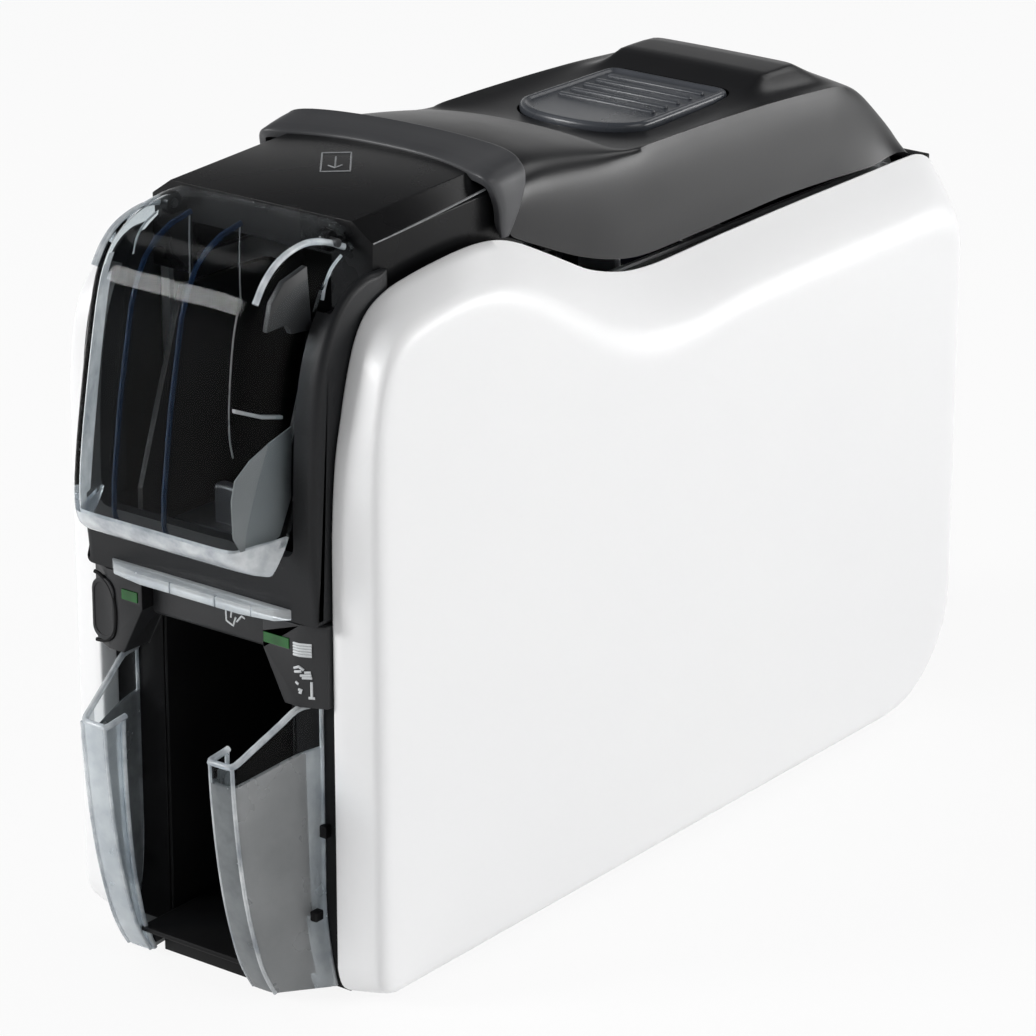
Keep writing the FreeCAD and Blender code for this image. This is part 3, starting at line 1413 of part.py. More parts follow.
# Three bars tie the two frame plates together
cross_bar_radius = 3.0
cross_bar_setback = 57.5
cross_bar_rear_y = rear_y - cross_bar_setback
cross_bar_place_share = 0.47
cross_bar_middle_y = cover_front_y + cover_length * cross_bar_place_share
cross_bar_low_z = 60.0
cross_bar_top_drop = 30.0
cross_bar_high_z = frame_top_z - cross_bar_top_drop


def frame_cross_bars():
    places = [(cross_bar_rear_y, cross_bar_low_z), (cross_bar_rear_y, cross_bar_high_z),
              (cross_bar_middle_y, cross_bar_low_z)]
    return Part.makeCompound([rod_x(-frame_inner_x, frame_inner_x, y, z, cross_bar_radius)
                              for y, z in places])


def build_nodes():
    right_panel = side_panel_right()
    right_plate = frame_plate_right()
    wing = bin_wing()
    door_pin = door_hinge_pin()
    nodes = {
        "right_side_panel": right_panel,
        "left_side_panel": mirrored(right_panel),
        "base_chassis": base_chassis(),
        "rubber_feet": rubber_feet(),
        "right_frame_plate": right_plate,
        "left_frame_plate": mirrored(right_plate),
        "frame_cross_bars": frame_cross_bars(),
        "roller_bushes": roller_bushes(),
        "feed_roller_shaft": shaft_with_pulley(feed_roller_y, feed_centre_z),
        "feed_roller_tyre": rubber_tyre(feed_roller_y, feed_centre_z, feed_roller_radius,
                                        feed_tyre_half_length),
        "entry_roller_shaft": shaft_with_pulley(entry_roller_y, roller_centre_z),
        "entry_roller_tyre": rubber_tyre(entry_roller_y, roller_centre_z, roller_radius, roller_half_length),
        "platen_shaft": shaft_with_pulley(platen_y, roller_centre_z),
        "platen_sleeve": rubber_tyre(platen_y, roller_centre_z, roller_radius, roller_half_length),
        "exit_roller_shaft": shaft_with_pulley(exit_roller_y, roller_centre_z),
        "exit_roller_tyre": rubber_tyre(exit_roller_y, roller_centre_z, roller_radius, roller_half_length),
        "pinch_roller": pinch_roller(),
        "drive_motor": drive_motor(),
        "motor_pulley": motor_pulley(),
        "drive_belt": drive_belt(),
        "card_magazine": card_magazine(),
        "card_pusher": card_pusher(),
        "card_guide": card_guide(),
        "ribbon_cartridge": ribbon_cartridge(),
        "takeup_spool": spool(takeup_y),
        "takeup_film_roll": wound_film(takeup_y, takeup_film_radius),
        "supply_spool": spool(supply_y),
        "supply_film_roll": wound_film(supply_y, supply_film_radius),
        "ribbon_film": ribbon_film(),
        "print_head": print_head(),
        "head_heat_sink": head_heat_sink(),
        "head_bracket": head_bracket(),
        "main_cover": main_cover(),
        "cover_collar": cover_collar(),
        "button_well": button_well(),
        "release_button": release_button(),
        "latch_slider": latch_slider(),
        "latch_guides": latch_guides(),
        "frame_pins": Part.makeCompound(keeper_pins() + hinge_pins()),
        "cover_rails": cover_rails(),
        "hopper_cap": hopper_cap(),
        "input_door": input_door(),
        "door_hinge_pins": Part.makeCompound([door_pin, mirrored(door_pin)]),
        "upper_fascia": upper_fascia(),
        "lower_fascia": lower_fascia(),
        "status_lenses": Part.makeCompound([status_lens(lens_left_x, lens_half_width),
                                            status_lens(lens_right_x, lens_right_half_width)]),
        "centre_plate": centre_plate(),
        "power_button": power_button(),
        "power_switch": power_switch(),
        "slot_light_guide": slot_light_guide(),
        "output_chute": output_chute(),
        "bin_right_wing": wing,
        "bin_left_wing": mirrored(wing),
        "bin_floor": bin_floor(),
        "rear_panel": rear_panel(),
        "power_inlet": power_inlet(),
        "usb_socket": usb_socket(),
        "io_board": io_board(),
        "rear_screws": rear_screws(),
        "main_board": main_board(),
    }
    return nodes


os.makedirs("parts", exist_ok=True)
for name, shape in build_nodes().items():
    shape.exportStep("parts/" + name + ".step")
    bounds = shape.BoundBox
    print(name, shape.ShapeType, "solids", len(shape.Solids), "valid", shape.isValid(),
          "x %.1f..%.1f y %.1f..%.1f z %.1f..%.1f" % (bounds.XMin, bounds.XMax, bounds.YMin, bounds.YMax,
                                                     bounds.ZMin, bounds.ZMax))
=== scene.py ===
# %% [markdown]
# # A desktop card printer
# The machine stands on a table, long and narrow, with two white side panels. Between them sit a black
# cover, a clear card door and a clear card bin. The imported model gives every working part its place,
# and this notebook dresses the parts that are seen. The machine is written in millimetres, the floor
# and the lamps in metres.

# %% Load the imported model
import bpy, bmesh, json, math
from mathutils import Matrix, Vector
from mathutils.geometry import interpolate_bezier

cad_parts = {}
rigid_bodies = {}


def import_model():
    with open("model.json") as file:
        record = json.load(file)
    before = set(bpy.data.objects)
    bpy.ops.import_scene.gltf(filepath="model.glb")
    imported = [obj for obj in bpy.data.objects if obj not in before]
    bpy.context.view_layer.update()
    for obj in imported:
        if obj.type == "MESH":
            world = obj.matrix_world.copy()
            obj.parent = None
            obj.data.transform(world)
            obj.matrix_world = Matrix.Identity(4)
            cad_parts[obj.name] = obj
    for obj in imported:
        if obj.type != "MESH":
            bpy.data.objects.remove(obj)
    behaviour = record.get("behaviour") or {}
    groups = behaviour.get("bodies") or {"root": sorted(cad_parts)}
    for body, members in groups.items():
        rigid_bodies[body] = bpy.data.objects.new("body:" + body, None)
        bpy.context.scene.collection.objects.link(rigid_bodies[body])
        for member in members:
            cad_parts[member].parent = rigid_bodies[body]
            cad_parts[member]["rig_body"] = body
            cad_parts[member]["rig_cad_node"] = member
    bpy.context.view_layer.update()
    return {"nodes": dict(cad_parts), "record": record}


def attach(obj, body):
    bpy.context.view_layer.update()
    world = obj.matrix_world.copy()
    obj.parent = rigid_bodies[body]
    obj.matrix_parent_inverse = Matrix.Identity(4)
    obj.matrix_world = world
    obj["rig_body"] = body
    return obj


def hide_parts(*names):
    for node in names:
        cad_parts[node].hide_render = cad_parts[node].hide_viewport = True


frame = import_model()
nodes = frame["nodes"]
slots = {row["node"]: row["material_slot"] for row in frame["record"]["subparts"]}
body_rows = frame["record"]["behaviour"]["bodies"]
body_of_node = {node: body for body, members in body_rows.items() for node in members}
scene = bpy.context.scene
SCALE = 0.001

# %% [markdown]
# ## Camera
# The machine is seen from the right and a little above, with a long lens, so that its upright edges
# stay almost parallel. The camera looks at a point near the middle of the machine.

# %% Camera
turn, drop = math.radians(37.451), math.radians(20.652)
look_at = Vector((1.492, 1.614, 117.241))
camera_distance = 1729.086
camera_data = bpy.data.cameras.new("studio_camera")
camera_data.sensor_width = 36.0
camera_data.lens = 164.29
camera_data.clip_end = 50.0
camera = bpy.data.objects.new("studio_camera", camera_data)
scene.collection.objects.link(camera)
back = Vector((math.sin(turn) * math.cos(drop), -math.cos(turn) * math.cos(drop), math.sin(drop)))
camera.location = (look_at + back * camera_distance) * SCALE
camera.rotation_euler = (math.pi / 2 - drop, 0.0, turn)
scene.camera = camera
print("camera at", [round(c, 3) for c in camera.location])

# %% [markdown]
# ## Node helpers
# A shader is a tree of nodes. These short functions place a node and fill its sockets: a number or a
# colour is written in, and another node's output is linked.

# %% Node helpers


def feed(tree, node, inputs):
    for key, value in inputs.items():
        if isinstance(value, bpy.types.NodeSocket):
            tree.links.new(value, node.inputs[key])
        else:
            node.inputs[key].default_value = value
    return node


def add_node(tree, kind, inputs={}):
    return feed(tree, tree.nodes.new("ShaderNode" + kind), inputs)


def noise(tree, vector, scale, detail=2.0, rough=0.5):
    settings = {"Vector": vector, "Scale": scale, "Detail": detail, "Roughness": rough}
    return add_node(tree, "TexNoise", settings).outputs[0]


def ramp(tree, value, low, high, out_low=0.0, out_high=1.0):
    settings = {"Value": value, "From Min": low, "From Max": high, "To Min": out_low, "To Max": out_high}
    return add_node(tree, "MapRange", settings).outputs["Result"]


def mixed(tree, share, first, second):
    node = add_node(tree, "Mix")
    node.data_type = "RGBA"
    return feed(tree, node, {0: share, 6: first, 7: second}).outputs[2]


def maths(tree, operation, first, second):
    node = add_node(tree, "Math")
    node.operation = operation
    return feed(tree, node, {0: first, 1: second}).outputs[0]


def spot_on_surface(tree):
    return add_node(tree, "TexCoord").outputs["Object"]


def stretched(tree, settings):
    return add_node(tree, "Mapping", {"Vector": spot_on_surface(tree), **settings}).outputs[0]


def add_bump(tree, shader, height, strength, distance):
    bump = add_node(tree, "Bump", {"Height": height, "Strength": strength, "Distance": distance})
    feed(tree, shader, {"Normal": bump.outputs[0]})


def blend_out(tree, share, first, second):
    blend = add_node(tree, "MixShader", {0: share, 1: first, 2: second})
    feed(tree, tree.nodes["Material Output"], {0: blend.outputs[0]})


def start_material(name):
    material = bpy.data.materials.new(name)
    material.use_nodes = True
    return material, material.node_tree, material.node_tree.nodes["Principled BSDF"]


print("node helpers ready")

# %% [markdown]
# ## Floor and light
# A wide pale floor, a surround that is white at the horizon and darker overhead, and five soft lamps.
# The gloss of the dark covers shows the lamps as broad soft streaks, and the clear door shows the one
# in front as a band. The floor glows nearly white where the camera, a reflection or a clear part sees
# it, and is plain pale paint for the light that falls on the machine.

# %% Floor
glow_share = 0.9
bpy.ops.object.select_all(action="DESELECT")
bpy.ops.mesh.primitive_grid_add(x_subdivisions=8, y_subdivisions=8, size=12.0, location=(0.0, 0.0, 0.0))
floor = bpy.context.object
floor.name = "studio_floor"
floor_paint, tree, shader = start_material("studio_floor")
feed(tree, shader, {"Base Color": (0.9, 0.9, 0.9, 1.0), "Roughness": 0.9})
glow = add_node(tree, "Emission", {"Strength": 1.0})
rays = add_node(tree, "LightPath").outputs
seen = maths(tree, "MAXIMUM", rays["Is Camera Ray"], rays["Is Glossy Ray"])
passed = maths(tree, "MAXIMUM", seen, rays["Is Transmission Ray"])
blend_out(tree, maths(tree, "MULTIPLY", passed, glow_share), shader.outputs[0], glow.outputs[0])
floor.data.materials.append(floor_paint)
print("floor", floor.dimensions.x, "m wide")

# %% World
horizon, overhead = (0.98, 0.98, 0.98, 1.0), (0.15, 0.152, 0.156, 1.0)
world = bpy.data.worlds.new("studio_world")
scene.world = world
world.use_nodes = True
tree = world.node_tree
direction = add_node(tree, "TexCoord").outputs["Generated"]
height = add_node(tree, "SeparateXYZ", {0: direction}).outputs["Z"]
sky = add_node(tree, "ValToRGB", {0: height})
for stop, position, colour in zip(sky.color_ramp.elements, (0.02, 0.34), (horizon, overhead)):
    stop.position = position
    stop.color = colour
feed(tree, tree.nodes["Background"], {"Color": sky.outputs[0], "Strength": 1.0})
print("world set")

# %% Lamps


def soft_lamp(name, place, aim, size, power):
    data = bpy.data.lights.new(name, "AREA")
    data.shape = "RECTANGLE"
    data.size, data.size_y = size
    data.energy = power
    lamp = bpy.data.objects.new(name, data)
    lamp.location = place
    lamp.rotation_euler = (Vector(aim) - Vector(place)).to_track_quat("-Z", "Y").to_euler()
    lamp.visible_camera = False
    scene.collection.objects.link(lamp)


soft_lamp("lamp_right", (2.2, -0.1, 1.9), (0.05, 0.0, 0.14), (1.6, 1.4), 19.0)
soft_lamp("lamp_rear_right", (1.9, 1.9, 0.45), (0.05, 0.1, 0.2), (1.5, 0.7), 31.0)
soft_lamp("lamp_rear_high", (0.4, 2.1, 1.9), (0.0, 0.1, 0.25), (1.2, 0.8), 9.0)
soft_lamp("lamp_front_strip", (-1.55, -2.05, 1.18), (0.0, -0.17, 0.25), (0.8, 0.6), 48.0)
soft_lamp("lamp_left_high", (-1.5, -0.3, 2.4), (0.0, 0.05, 0.25), (0.8, 0.8), 4.0)
scene.view_settings.view_transform = "Standard"
print("five lamps")

# %% [markdown]
# ## Shared surface effects
# Moulded plastic is never one flat colour: it has a fine grain from the tool, broad cloudy changes of
# shade, and a few hairline rubs. One node group makes the grain and the clouds, another the rubs.
# Each material places them with its own values, and keeps its own Principled shader.

# %% Node groups for grain and rubs


def start_group(name, entries, results):
    group = bpy.data.node_groups.new(name, "ShaderNodeTree")
    for way, rows in (("INPUT", entries), ("OUTPUT", results)):
        for title, kind in rows.items():
            group.interface.new_socket(title, in_out=way, socket_type="NodeSocket" + kind)
    return group, group.nodes.new("NodeGroupInput").outputs, group.nodes.new("NodeGroupOutput")


def make_grain_group():
    entries = {"Base": "Color", "Shade": "Color", "Grain Scale": "Float", "Cloud Scale": "Float",
               "Roughness": "Float", "Spread": "Float"}
    results = {"Color": "Color", "Roughness": "Float", "Height": "Float"}
    group, entry, leave = start_group("moulded_grain", entries, results)
    place = spot_on_surface(group)
    grain = noise(group, place, entry["Grain Scale"], 3.0, 0.6)
    cloud = noise(group, place, entry["Cloud Scale"], 4.0, 0.55)
    clouded = ramp(group, cloud, 0.35, 0.65, 0.0, 0.8)
    share = maths(group, "ADD", clouded, ramp(group, grain, 0.4, 0.7, 0.0, 0.2))
    swing = maths(group, "MULTIPLY", ramp(group, cloud, 0.3, 0.7, -1.0, 1.0), entry["Spread"])
    feed(group, leave, {"Color": mixed(group, share, entry["Base"], entry["Shade"]),
                        "Roughness": maths(group, "ADD", entry["Roughness"], swing), "Height": grain})
    return group


def make_rub_group():
    entries = {"Scale": "Float", "Amount": "Float"}
    group, entry, leave = start_group("hairline_rubs", entries, {"Mask": "Float"})
    place = stretched(group, {"Rotation": (0.3, 0.5, 0.8), "Scale": (1.0, 14.0, 1.0)})
    line = noise(group, place, entry["Scale"], 5.0, 0.7)
    feed(group, leave, {"Mask": maths(group, "MULTIPLY", ramp(group, line, 0.62, 0.78), entry["Amount"])})
    return group


def place_group(tree, group, values):
    node = tree.nodes.new("ShaderNodeGroup")
    node.node_tree = group
    return feed(tree, node, values).outputs


grain_group = make_grain_group()
rub_group = make_rub_group()
print("grain group", len(grain_group.nodes), "nodes, rub group", len(rub_group.nodes), "nodes")

# %% [markdown]
# ## Materials
# Moulded plastics differ only in colour, gloss and grain, so one table lists them all. Clear plastic,
# metal and the lit lens have their own functions, because their light behaves differently.

# %% Moulded plastics, rubbers and marks
finishes = {}
rub_scale = 26.0
coat_roughness = 0.12


def moulded(name, base, shade, rough, spread, grain, cloud, bump, depth, coat, rubs, metal, gloss):
    finishes[name], tree, shader = start_material(name)
    values = {"Base": (*base, 1.0), "Shade": (*shade, 1.0), "Grain Scale": grain, "Cloud Scale": cloud,
              "Roughness": rough, "Spread": spread}
    grains = place_group(tree, grain_group, values)
    rub = place_group(tree, rub_group, {"Scale": rub_scale, "Amount": rubs})
    scuffed = tuple(c * 0.75 + 0.12 for c in base) + (1.0,)
    feed(tree, shader, {"Base Color": mixed(tree, rub["Mask"], grains["Color"], scuffed), "Metallic": metal,
                        "Roughness": grains["Roughness"], "Specular IOR Level": gloss, "Coat Weight": coat,
                        "Coat Roughness": coat_roughness})
    add_bump(tree, shader, grains["Height"], bump, depth)


# Each row: base colour, second shade, roughness and its spread, grain and cloud scale, bump and its depth.
plastics = {
    "white_gloss": ((0.88, 0.88, 0.88), (0.865, 0.865, 0.87), 0.42, 0.03, 700.0, 6.0, 0.05, 0.00005),
    "cover_black": ((0.006, 0.006, 0.007), (0.009, 0.009, 0.010), 0.34, 0.04, 1500.0, 18.0, 0.22, 0.00008),
    "collar_grey": ((0.042, 0.043, 0.046), (0.056, 0.057, 0.061), 0.42, 0.04, 1500.0, 20.0, 0.22, 0.00008),
    "cap_black": ((0.004, 0.004, 0.0045), (0.007, 0.007, 0.0075), 0.26, 0.05, 1500.0, 16.0, 0.25, 0.00008),
    "button_grey": ((0.048, 0.053, 0.062), (0.070, 0.075, 0.088), 0.30, 0.05, 1500.0, 24.0, 0.2, 0.00006),
    "fascia_grey": ((0.009, 0.0095, 0.0105), (0.014, 0.0145, 0.016), 0.44, 0.05, 1300.0, 22.0, 0.3, 0.0001),
    "bin_grey": ((0.15, 0.158, 0.16), (0.20, 0.208, 0.21), 0.4, 0.05, 900.0, 40.0, 0.2, 0.0001),
    "pod_grey": ((0.019, 0.0195, 0.021), (0.027, 0.0275, 0.029), 0.44, 0.05, 1300.0, 22.0, 0.3, 0.0001),
    "edge_grey": ((0.10, 0.105, 0.11), (0.16, 0.165, 0.17), 0.3, 0.05, 900.0, 60.0, 0.2, 0.0001),
    "guide_grey": ((0.012, 0.0125, 0.0135), (0.022, 0.0225, 0.024), 0.5, 0.05, 900.0, 40.0, 0.2, 0.0001),
    "dark_plastic": ((0.003, 0.003, 0.0035), (0.006, 0.006, 0.0065), 0.55, 0.06, 1100.0, 20.0, 0.3, 0.0001),
    "pusher_plastic": ((0.03, 0.03, 0.033), (0.045, 0.045, 0.05), 0.42, 0.05, 1200.0, 30.0, 0.25, 0.0001),
    "latch_plastic": ((0.02, 0.02, 0.022), (0.03, 0.03, 0.032), 0.5, 0.05, 1200.0, 30.0, 0.3, 0.0001),
    "cartridge_plastic": ((0.62, 0.63, 0.65), (0.56, 0.57, 0.6), 0.42, 0.05, 900.0, 20.0, 0.2, 0.0001),
    "spool_plastic": ((0.45, 0.47, 0.5), (0.4, 0.42, 0.46), 0.45, 0.05, 900.0, 30.0, 0.2, 0.0001),
    "bush_nylon": ((0.75, 0.73, 0.68), (0.7, 0.68, 0.62), 0.5, 0.05, 1200.0, 40.0, 0.2, 0.0001),
    "head_ceramic": ((0.62, 0.60, 0.55), (0.55, 0.52, 0.47), 0.35, 0.08, 800.0, 40.0, 0.1, 0.00005),
    "motor_case": ((0.05, 0.05, 0.055), (0.07, 0.07, 0.075), 0.4, 0.08, 700.0, 30.0, 0.2, 0.0001),
    "foot_rubber": ((0.025, 0.025, 0.025), (0.04, 0.04, 0.04), 0.8, 0.08, 1400.0, 60.0, 0.5, 0.0002),
    "roller_rubber": ((0.07, 0.07, 0.075), (0.1, 0.1, 0.105), 0.75, 0.08, 1400.0, 60.0, 0.4, 0.0002),
    "belt_rubber": ((0.02, 0.02, 0.02), (0.035, 0.035, 0.035), 0.7, 0.08, 1600.0, 60.0, 0.4, 0.0002),
    "ribbon_film": ((0.03, 0.03, 0.06), (0.02, 0.02, 0.03), 0.16, 0.06, 300.0, 60.0, 0.1, 0.00004),
    "board_green": ((0.02, 0.13, 0.05), (0.03, 0.2, 0.08), 0.4, 0.1, 500.0, 160.0, 0.4, 0.0001),
    "mark_white": ((0.62, 0.64, 0.65), (0.5, 0.52, 0.53), 0.5, 0.05, 1200.0, 60.0, 0.2, 0.00003),
    "mark_grey": ((0.30, 0.31, 0.32), (0.24, 0.25, 0.26), 0.5, 0.05, 1200.0, 60.0, 0.2, 0.00003),
}
# A clear coat, the amount of rubs, metal flakes and a gloss other than the usual 0.5.
coats = {"white_gloss": 0.08, "head_ceramic": 0.3, "ribbon_film": 0.5}
rubbed = {"white_gloss": 0.02, "cover_black": 0.03, "collar_grey": 0.04, "cap_black": 0.04,
          "button_grey": 0.05, "fascia_grey": 0.05, "pod_grey": 0.05, "dark_plastic": 0.04,
          "pusher_plastic": 0.1, "latch_plastic": 0.1, "cartridge_plastic": 0.1, "spool_plastic": 0.1,
          "ribbon_film": 0.1, "board_green": 0.05}
flakes = {"motor_case": 0.6}
glosses = {"cover_black": 0.27, "collar_grey": 0.4, "cap_black": 0.14, "button_grey": 0.4,
           "fascia_grey": 0.22, "pod_grey": 0.3, "dark_plastic": 0.15}
for name, row in plastics.items():
    coat, rubs = coats.get(name, 0.0), rubbed.get(name, 0.2)
    moulded(name, *row, coat, rubs, flakes.get(name, 0.0), glosses.get(name, 0.5))
print(len(finishes), "moulded finishes")

# %% Metals


def brushed(name, base, shade, rough, pull):
    finishes[name], tree, shader = start_material(name)
    lines = noise(tree, stretched(tree, {"Scale": pull}), 400.0, 4.0, 0.6)
    feed(tree, shader, {"Base Color": mixed(tree, lines, (*base, 1.0), (*shade, 1.0)), "Metallic": 1.0,
                        "Roughness": ramp(tree, lines, 0.3, 0.7, rough - 0.06, rough + 0.08)})
    add_bump(tree, shader, lines, 0.15, 0.00005)


brushed("frame_steel", (0.52, 0.53, 0.55), (0.62, 0.63, 0.64), 0.38, (1.0, 0.06, 1.0))
brushed("shaft_steel", (0.6, 0.6, 0.61), (0.7, 0.7, 0.7), 0.25, (0.05, 1.0, 1.0))
brushed("brass_hub", (0.72, 0.55, 0.25), (0.8, 0.64, 0.34), 0.3, (0.1, 1.0, 1.0))
brushed("sink_aluminium", (0.7, 0.71, 0.73), (0.78, 0.79, 0.8), 0.35, (1.0, 1.0, 0.1))
print("four metals")

# %% Clear plastics


def clear(name, tint, shade, rough, shadow, bend, through_share, cloud):
    finishes[name], tree, shader = start_material(name)
    values = {"Base": (*tint, 1.0), "Shade": (*shade, 1.0), "Grain Scale": 260.0, "Cloud Scale": cloud,
              "Roughness": rough, "Spread": rough * 0.6}
    grains = place_group(tree, grain_group, values)
    feed(tree, shader, {"Base Color": grains["Color"], "Roughness": grains["Roughness"], "IOR": bend,
                        "Transmission Weight": through_share})
    through = add_node(tree, "BsdfTransparent", {"Color": (*shadow, 1.0)})
    shadow_ray = add_node(tree, "LightPath").outputs["Is Shadow Ray"]
    blend_out(tree, shadow_ray, shader.outputs[0], through.outputs[0])


# Each row: tint, second shade, roughness, colour of the shadow, refraction, share let through, cloud scale.
clears = {
    "clear_smoke": ((0.80, 0.83, 0.84), (0.74, 0.78, 0.80), 0.012, (0.75, 0.77, 0.78), 1.12, 1.0, 22.0),
    "clear_edge": ((0.95, 0.97, 0.98), (0.34, 0.38, 0.42), 0.14, (0.8, 0.82, 0.84), 1.45, 0.45, 60.0),
    "clear_plastic": ((0.80, 0.84, 0.86), (0.55, 0.60, 0.64), 0.20, (0.8, 0.82, 0.84), 1.45, 0.5, 60.0),
    "clear_blue": ((0.012, 0.03, 0.07), (0.008, 0.02, 0.05), 0.10, (0.3, 0.4, 0.6), 1.35, 0.3, 22.0),
    "clear_dim": ((0.27, 0.29, 0.30), (0.15, 0.165, 0.175), 0.22, (0.5, 0.5, 0.5), 1.35, 0.4, 70.0),
    "clear_haze": ((0.36, 0.37, 0.375), (0.28, 0.29, 0.295), 0.30, (0.5, 0.5, 0.5), 1.35, 0.3, 30.0),
}
for name, row in clears.items():
    clear(name, *row)
print(len(clears), "clear plastics")

# %% Lit lens


def lit(name, dark, bright, strength):
    finishes[name], tree, shader = start_material(name)
    dark, bright = (*dark, 1.0), (*bright, 1.0)
    cells = noise(tree, spot_on_surface(tree), 160.0, 1.0, 0.5)
    feed(tree, shader, {"Base Color": mixed(tree, cells, dark, bright), "Emission Strength": strength,
                        "Emission Color": mixed(tree, ramp(tree, cells, 0.4, 0.6), dark, bright),
                        "Roughness": 0.25})


lit("lens_green", (0.004, 0.035, 0.006), (0.010, 0.11, 0.018), 0.24)
print("lit lens")

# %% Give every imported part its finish
for name, thing in nodes.items():
    for place in range(max(1, len(thing.material_slots))):
        if place < len(thing.material_slots):
            thing.material_slots[place].material = finishes[slots[name]]
        else:
            thing.data.materials.append(finishes[slots[name]])
nodes["door_hinge_pins"].material_slots[0].material = finishes["latch_plastic"]
print("finishes on", len(nodes), "parts")

# %% [markdown]
# ## Modelling helpers
# Every new piece starts from a primitive and is shaped in edit mode. Most shells of this machine are
# lofts, so the most used helper lays a circle's corners on a first section and then extrudes them
# from section to section, as one does by hand when building a hull plank by plank.

# %% Selecting, applying and shading


def deselect_all():
    if bpy.context.object and bpy.context.object.mode != "OBJECT":
        bpy.ops.object.mode_set(mode="OBJECT")
    bpy.ops.object.select_all(action="DESELECT")


def make_active(piece):
    deselect_all()
    piece.select_set(True)
    bpy.context.view_layer.objects.active = piece


def in_edit_mode(piece, *steps):
    make_active(piece)
    bpy.ops.object.mode_set(mode="EDIT")
    bpy.ops.mesh.select_all(action="SELECT")
    for step in steps:
        step()
    bpy.ops.object.mode_set(mode="OBJECT")


def apply_modifier(piece, kind, **settings):
    make_active(piece)
    modifier = piece.modifiers.new(kind.lower(), kind)
    for key, value in settings.items():
        setattr(modifier, key, value)
    bpy.ops.object.modifier_apply(modifier=modifier.name)


def tidy_normals(piece):
    in_edit_mode(piece, lambda: bpy.ops.mesh.remove_doubles(threshold=0.00001),
                 lambda: bpy.ops.mesh.normals_make_consistent(inside=False))


def smooth(piece, degrees=40.0):
    make_active(piece)
    bpy.ops.object.shade_smooth_by_angle(angle=math.radians(degrees))


def join(pieces):
    deselect_all()
    for piece in pieces:
        piece.select_set(True)
    bpy.context.view_layer.objects.active = pieces[0]
    bpy.ops.object.join()
    return pieces[0]


print("selecting and shading ready")

# %% [markdown]
# Dressing a piece names it, paints it, hangs it on its body and hides the imported part it replaces.
# Much of the machine is the same left and right, so one helper mirrors a piece and dresses both.

# %% Dressing and painting


def dress(piece, name, body, finish, stands_for=()):
    piece.name = name
    piece.data.name = name
    piece.data.materials.clear()
    piece.data.materials.append(finishes[finish])
    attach(piece, body)
    if stands_for:
        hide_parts(*stands_for)
    print(name, len(piece.data.polygons), "faces")


def dress_both(piece, names, body, finish, stands_for=((), ()), degrees=40.0):
    smooth(piece, degrees)
    twin = piece.copy()
    twin.data = piece.data.copy()
    scene.collection.objects.link(twin)
    across = {"orient_type": "GLOBAL", "constraint_axis": (True, False, False), "center_override": (0, 0, 0)}
    in_edit_mode(twin, lambda: bpy.ops.transform.mirror(**across), bpy.ops.mesh.flip_normals)
    for side, name, replaced in zip((piece, twin), names, stands_for):
        dress(side, name, body, finish, replaced)
    return twin


def paint_faces(piece, finish, chosen):
    piece.data.materials.append(finishes[finish])
    place = len(piece.data.materials) - 1
    faces = [face for face in piece.data.polygons if chosen(face.center / SCALE, face.normal)]
    for face in faces:
        face.material_index = place
    return len(faces)


print("dressing ready")

# %% Smooth lines through measured points


def smooth_line(points, steps=4, closed=False):
    spots = [Vector(point) for point in points]
    count = len(spots)
    line = []
    for i in range(count if closed else count - 1):
        here, there = spots[i], spots[(i + 1) % count]
        before = spots[i - 1] if closed or i > 0 else here
        after = spots[(i + 2) % count] if closed or i + 2 < count else there
        reach = (there - here).length / 3.0
        leave = here + (there - before).normalized() * reach
        arrive = there - (after - here).normalized() * reach
        line += interpolate_bezier(here, leave, arrive, there, steps + 1)[:-1]
    return line if closed else line + [spots[-1]]


def inset_line(line, depth):
    moved = []
    for i, spot in enumerate(line):
        run = line[(i + 1) % len(line)] - line[i - 1]
        moved.append(spot + Vector((0.0, run.z, -run.y)).normalized() * depth)
    return moved


def at_x(line, x):
    return [(x, spot.y, spot.z) for spot in line]


def blend_lines(first, second, share):
    return [a.lerp(b, share) for a, b in zip(first, second)]


print("a smooth line of", len(smooth_line([(0, 0, 0), (1, 0, 0), (1, 1, 0)])), "points")

# %% Planks from section to section


def planked(name, rings, closed=True, caps=False):
    deselect_all()
    filling = "NGON" if caps else "NOTHING"
    bpy.ops.mesh.primitive_circle_add(vertices=len(rings[0]), radius=0.01, fill_type=filling)
    piece = bpy.context.object
    piece.name = name
    bpy.ops.object.mode_set(mode="EDIT")
    net = bmesh.from_edit_mesh(piece.data)
    place = net.verts.layers.int.new("place")
    net.verts.ensure_lookup_table()
    for index, vertex in enumerate(net.verts):
        vertex[place] = index
        vertex.co = Vector(rings[0][index]) * SCALE
    if not closed:
        ends = {0, len(rings[0]) - 1}
        net.edges.remove(next(edge for edge in net.edges if {v[place] for v in edge.verts} == ends))
    bmesh.update_edit_mesh(piece.data)
    for ring in rings[1:]:
        bpy.ops.mesh.extrude_region_move()
        net = bmesh.from_edit_mesh(piece.data)
        place = net.verts.layers.int["place"]
        for vertex in net.verts:
            if vertex.select:
                vertex.co = Vector(ring[vertex[place]]) * SCALE
        bmesh.update_edit_mesh(piece.data)
    net.verts.layers.int.remove(place)
    bmesh.update_edit_mesh(piece.data)
    bpy.ops.object.mode_set(mode="OBJECT")
    return piece


def solid_loft(name, rings):
    piece = planked(name, rings, caps=True)
    tidy_normals(piece)
    return piece


def thin_plate(name, near_side, far_side):
    plate = solid_loft(name, [near_side, far_side])
    apply_modifier(plate, "BEVEL", width=0.25 * SCALE, segments=2, limit_method="ANGLE")
    smooth(plate)
    return plate


print("planks ready")

# %% Beads and rounded blocks


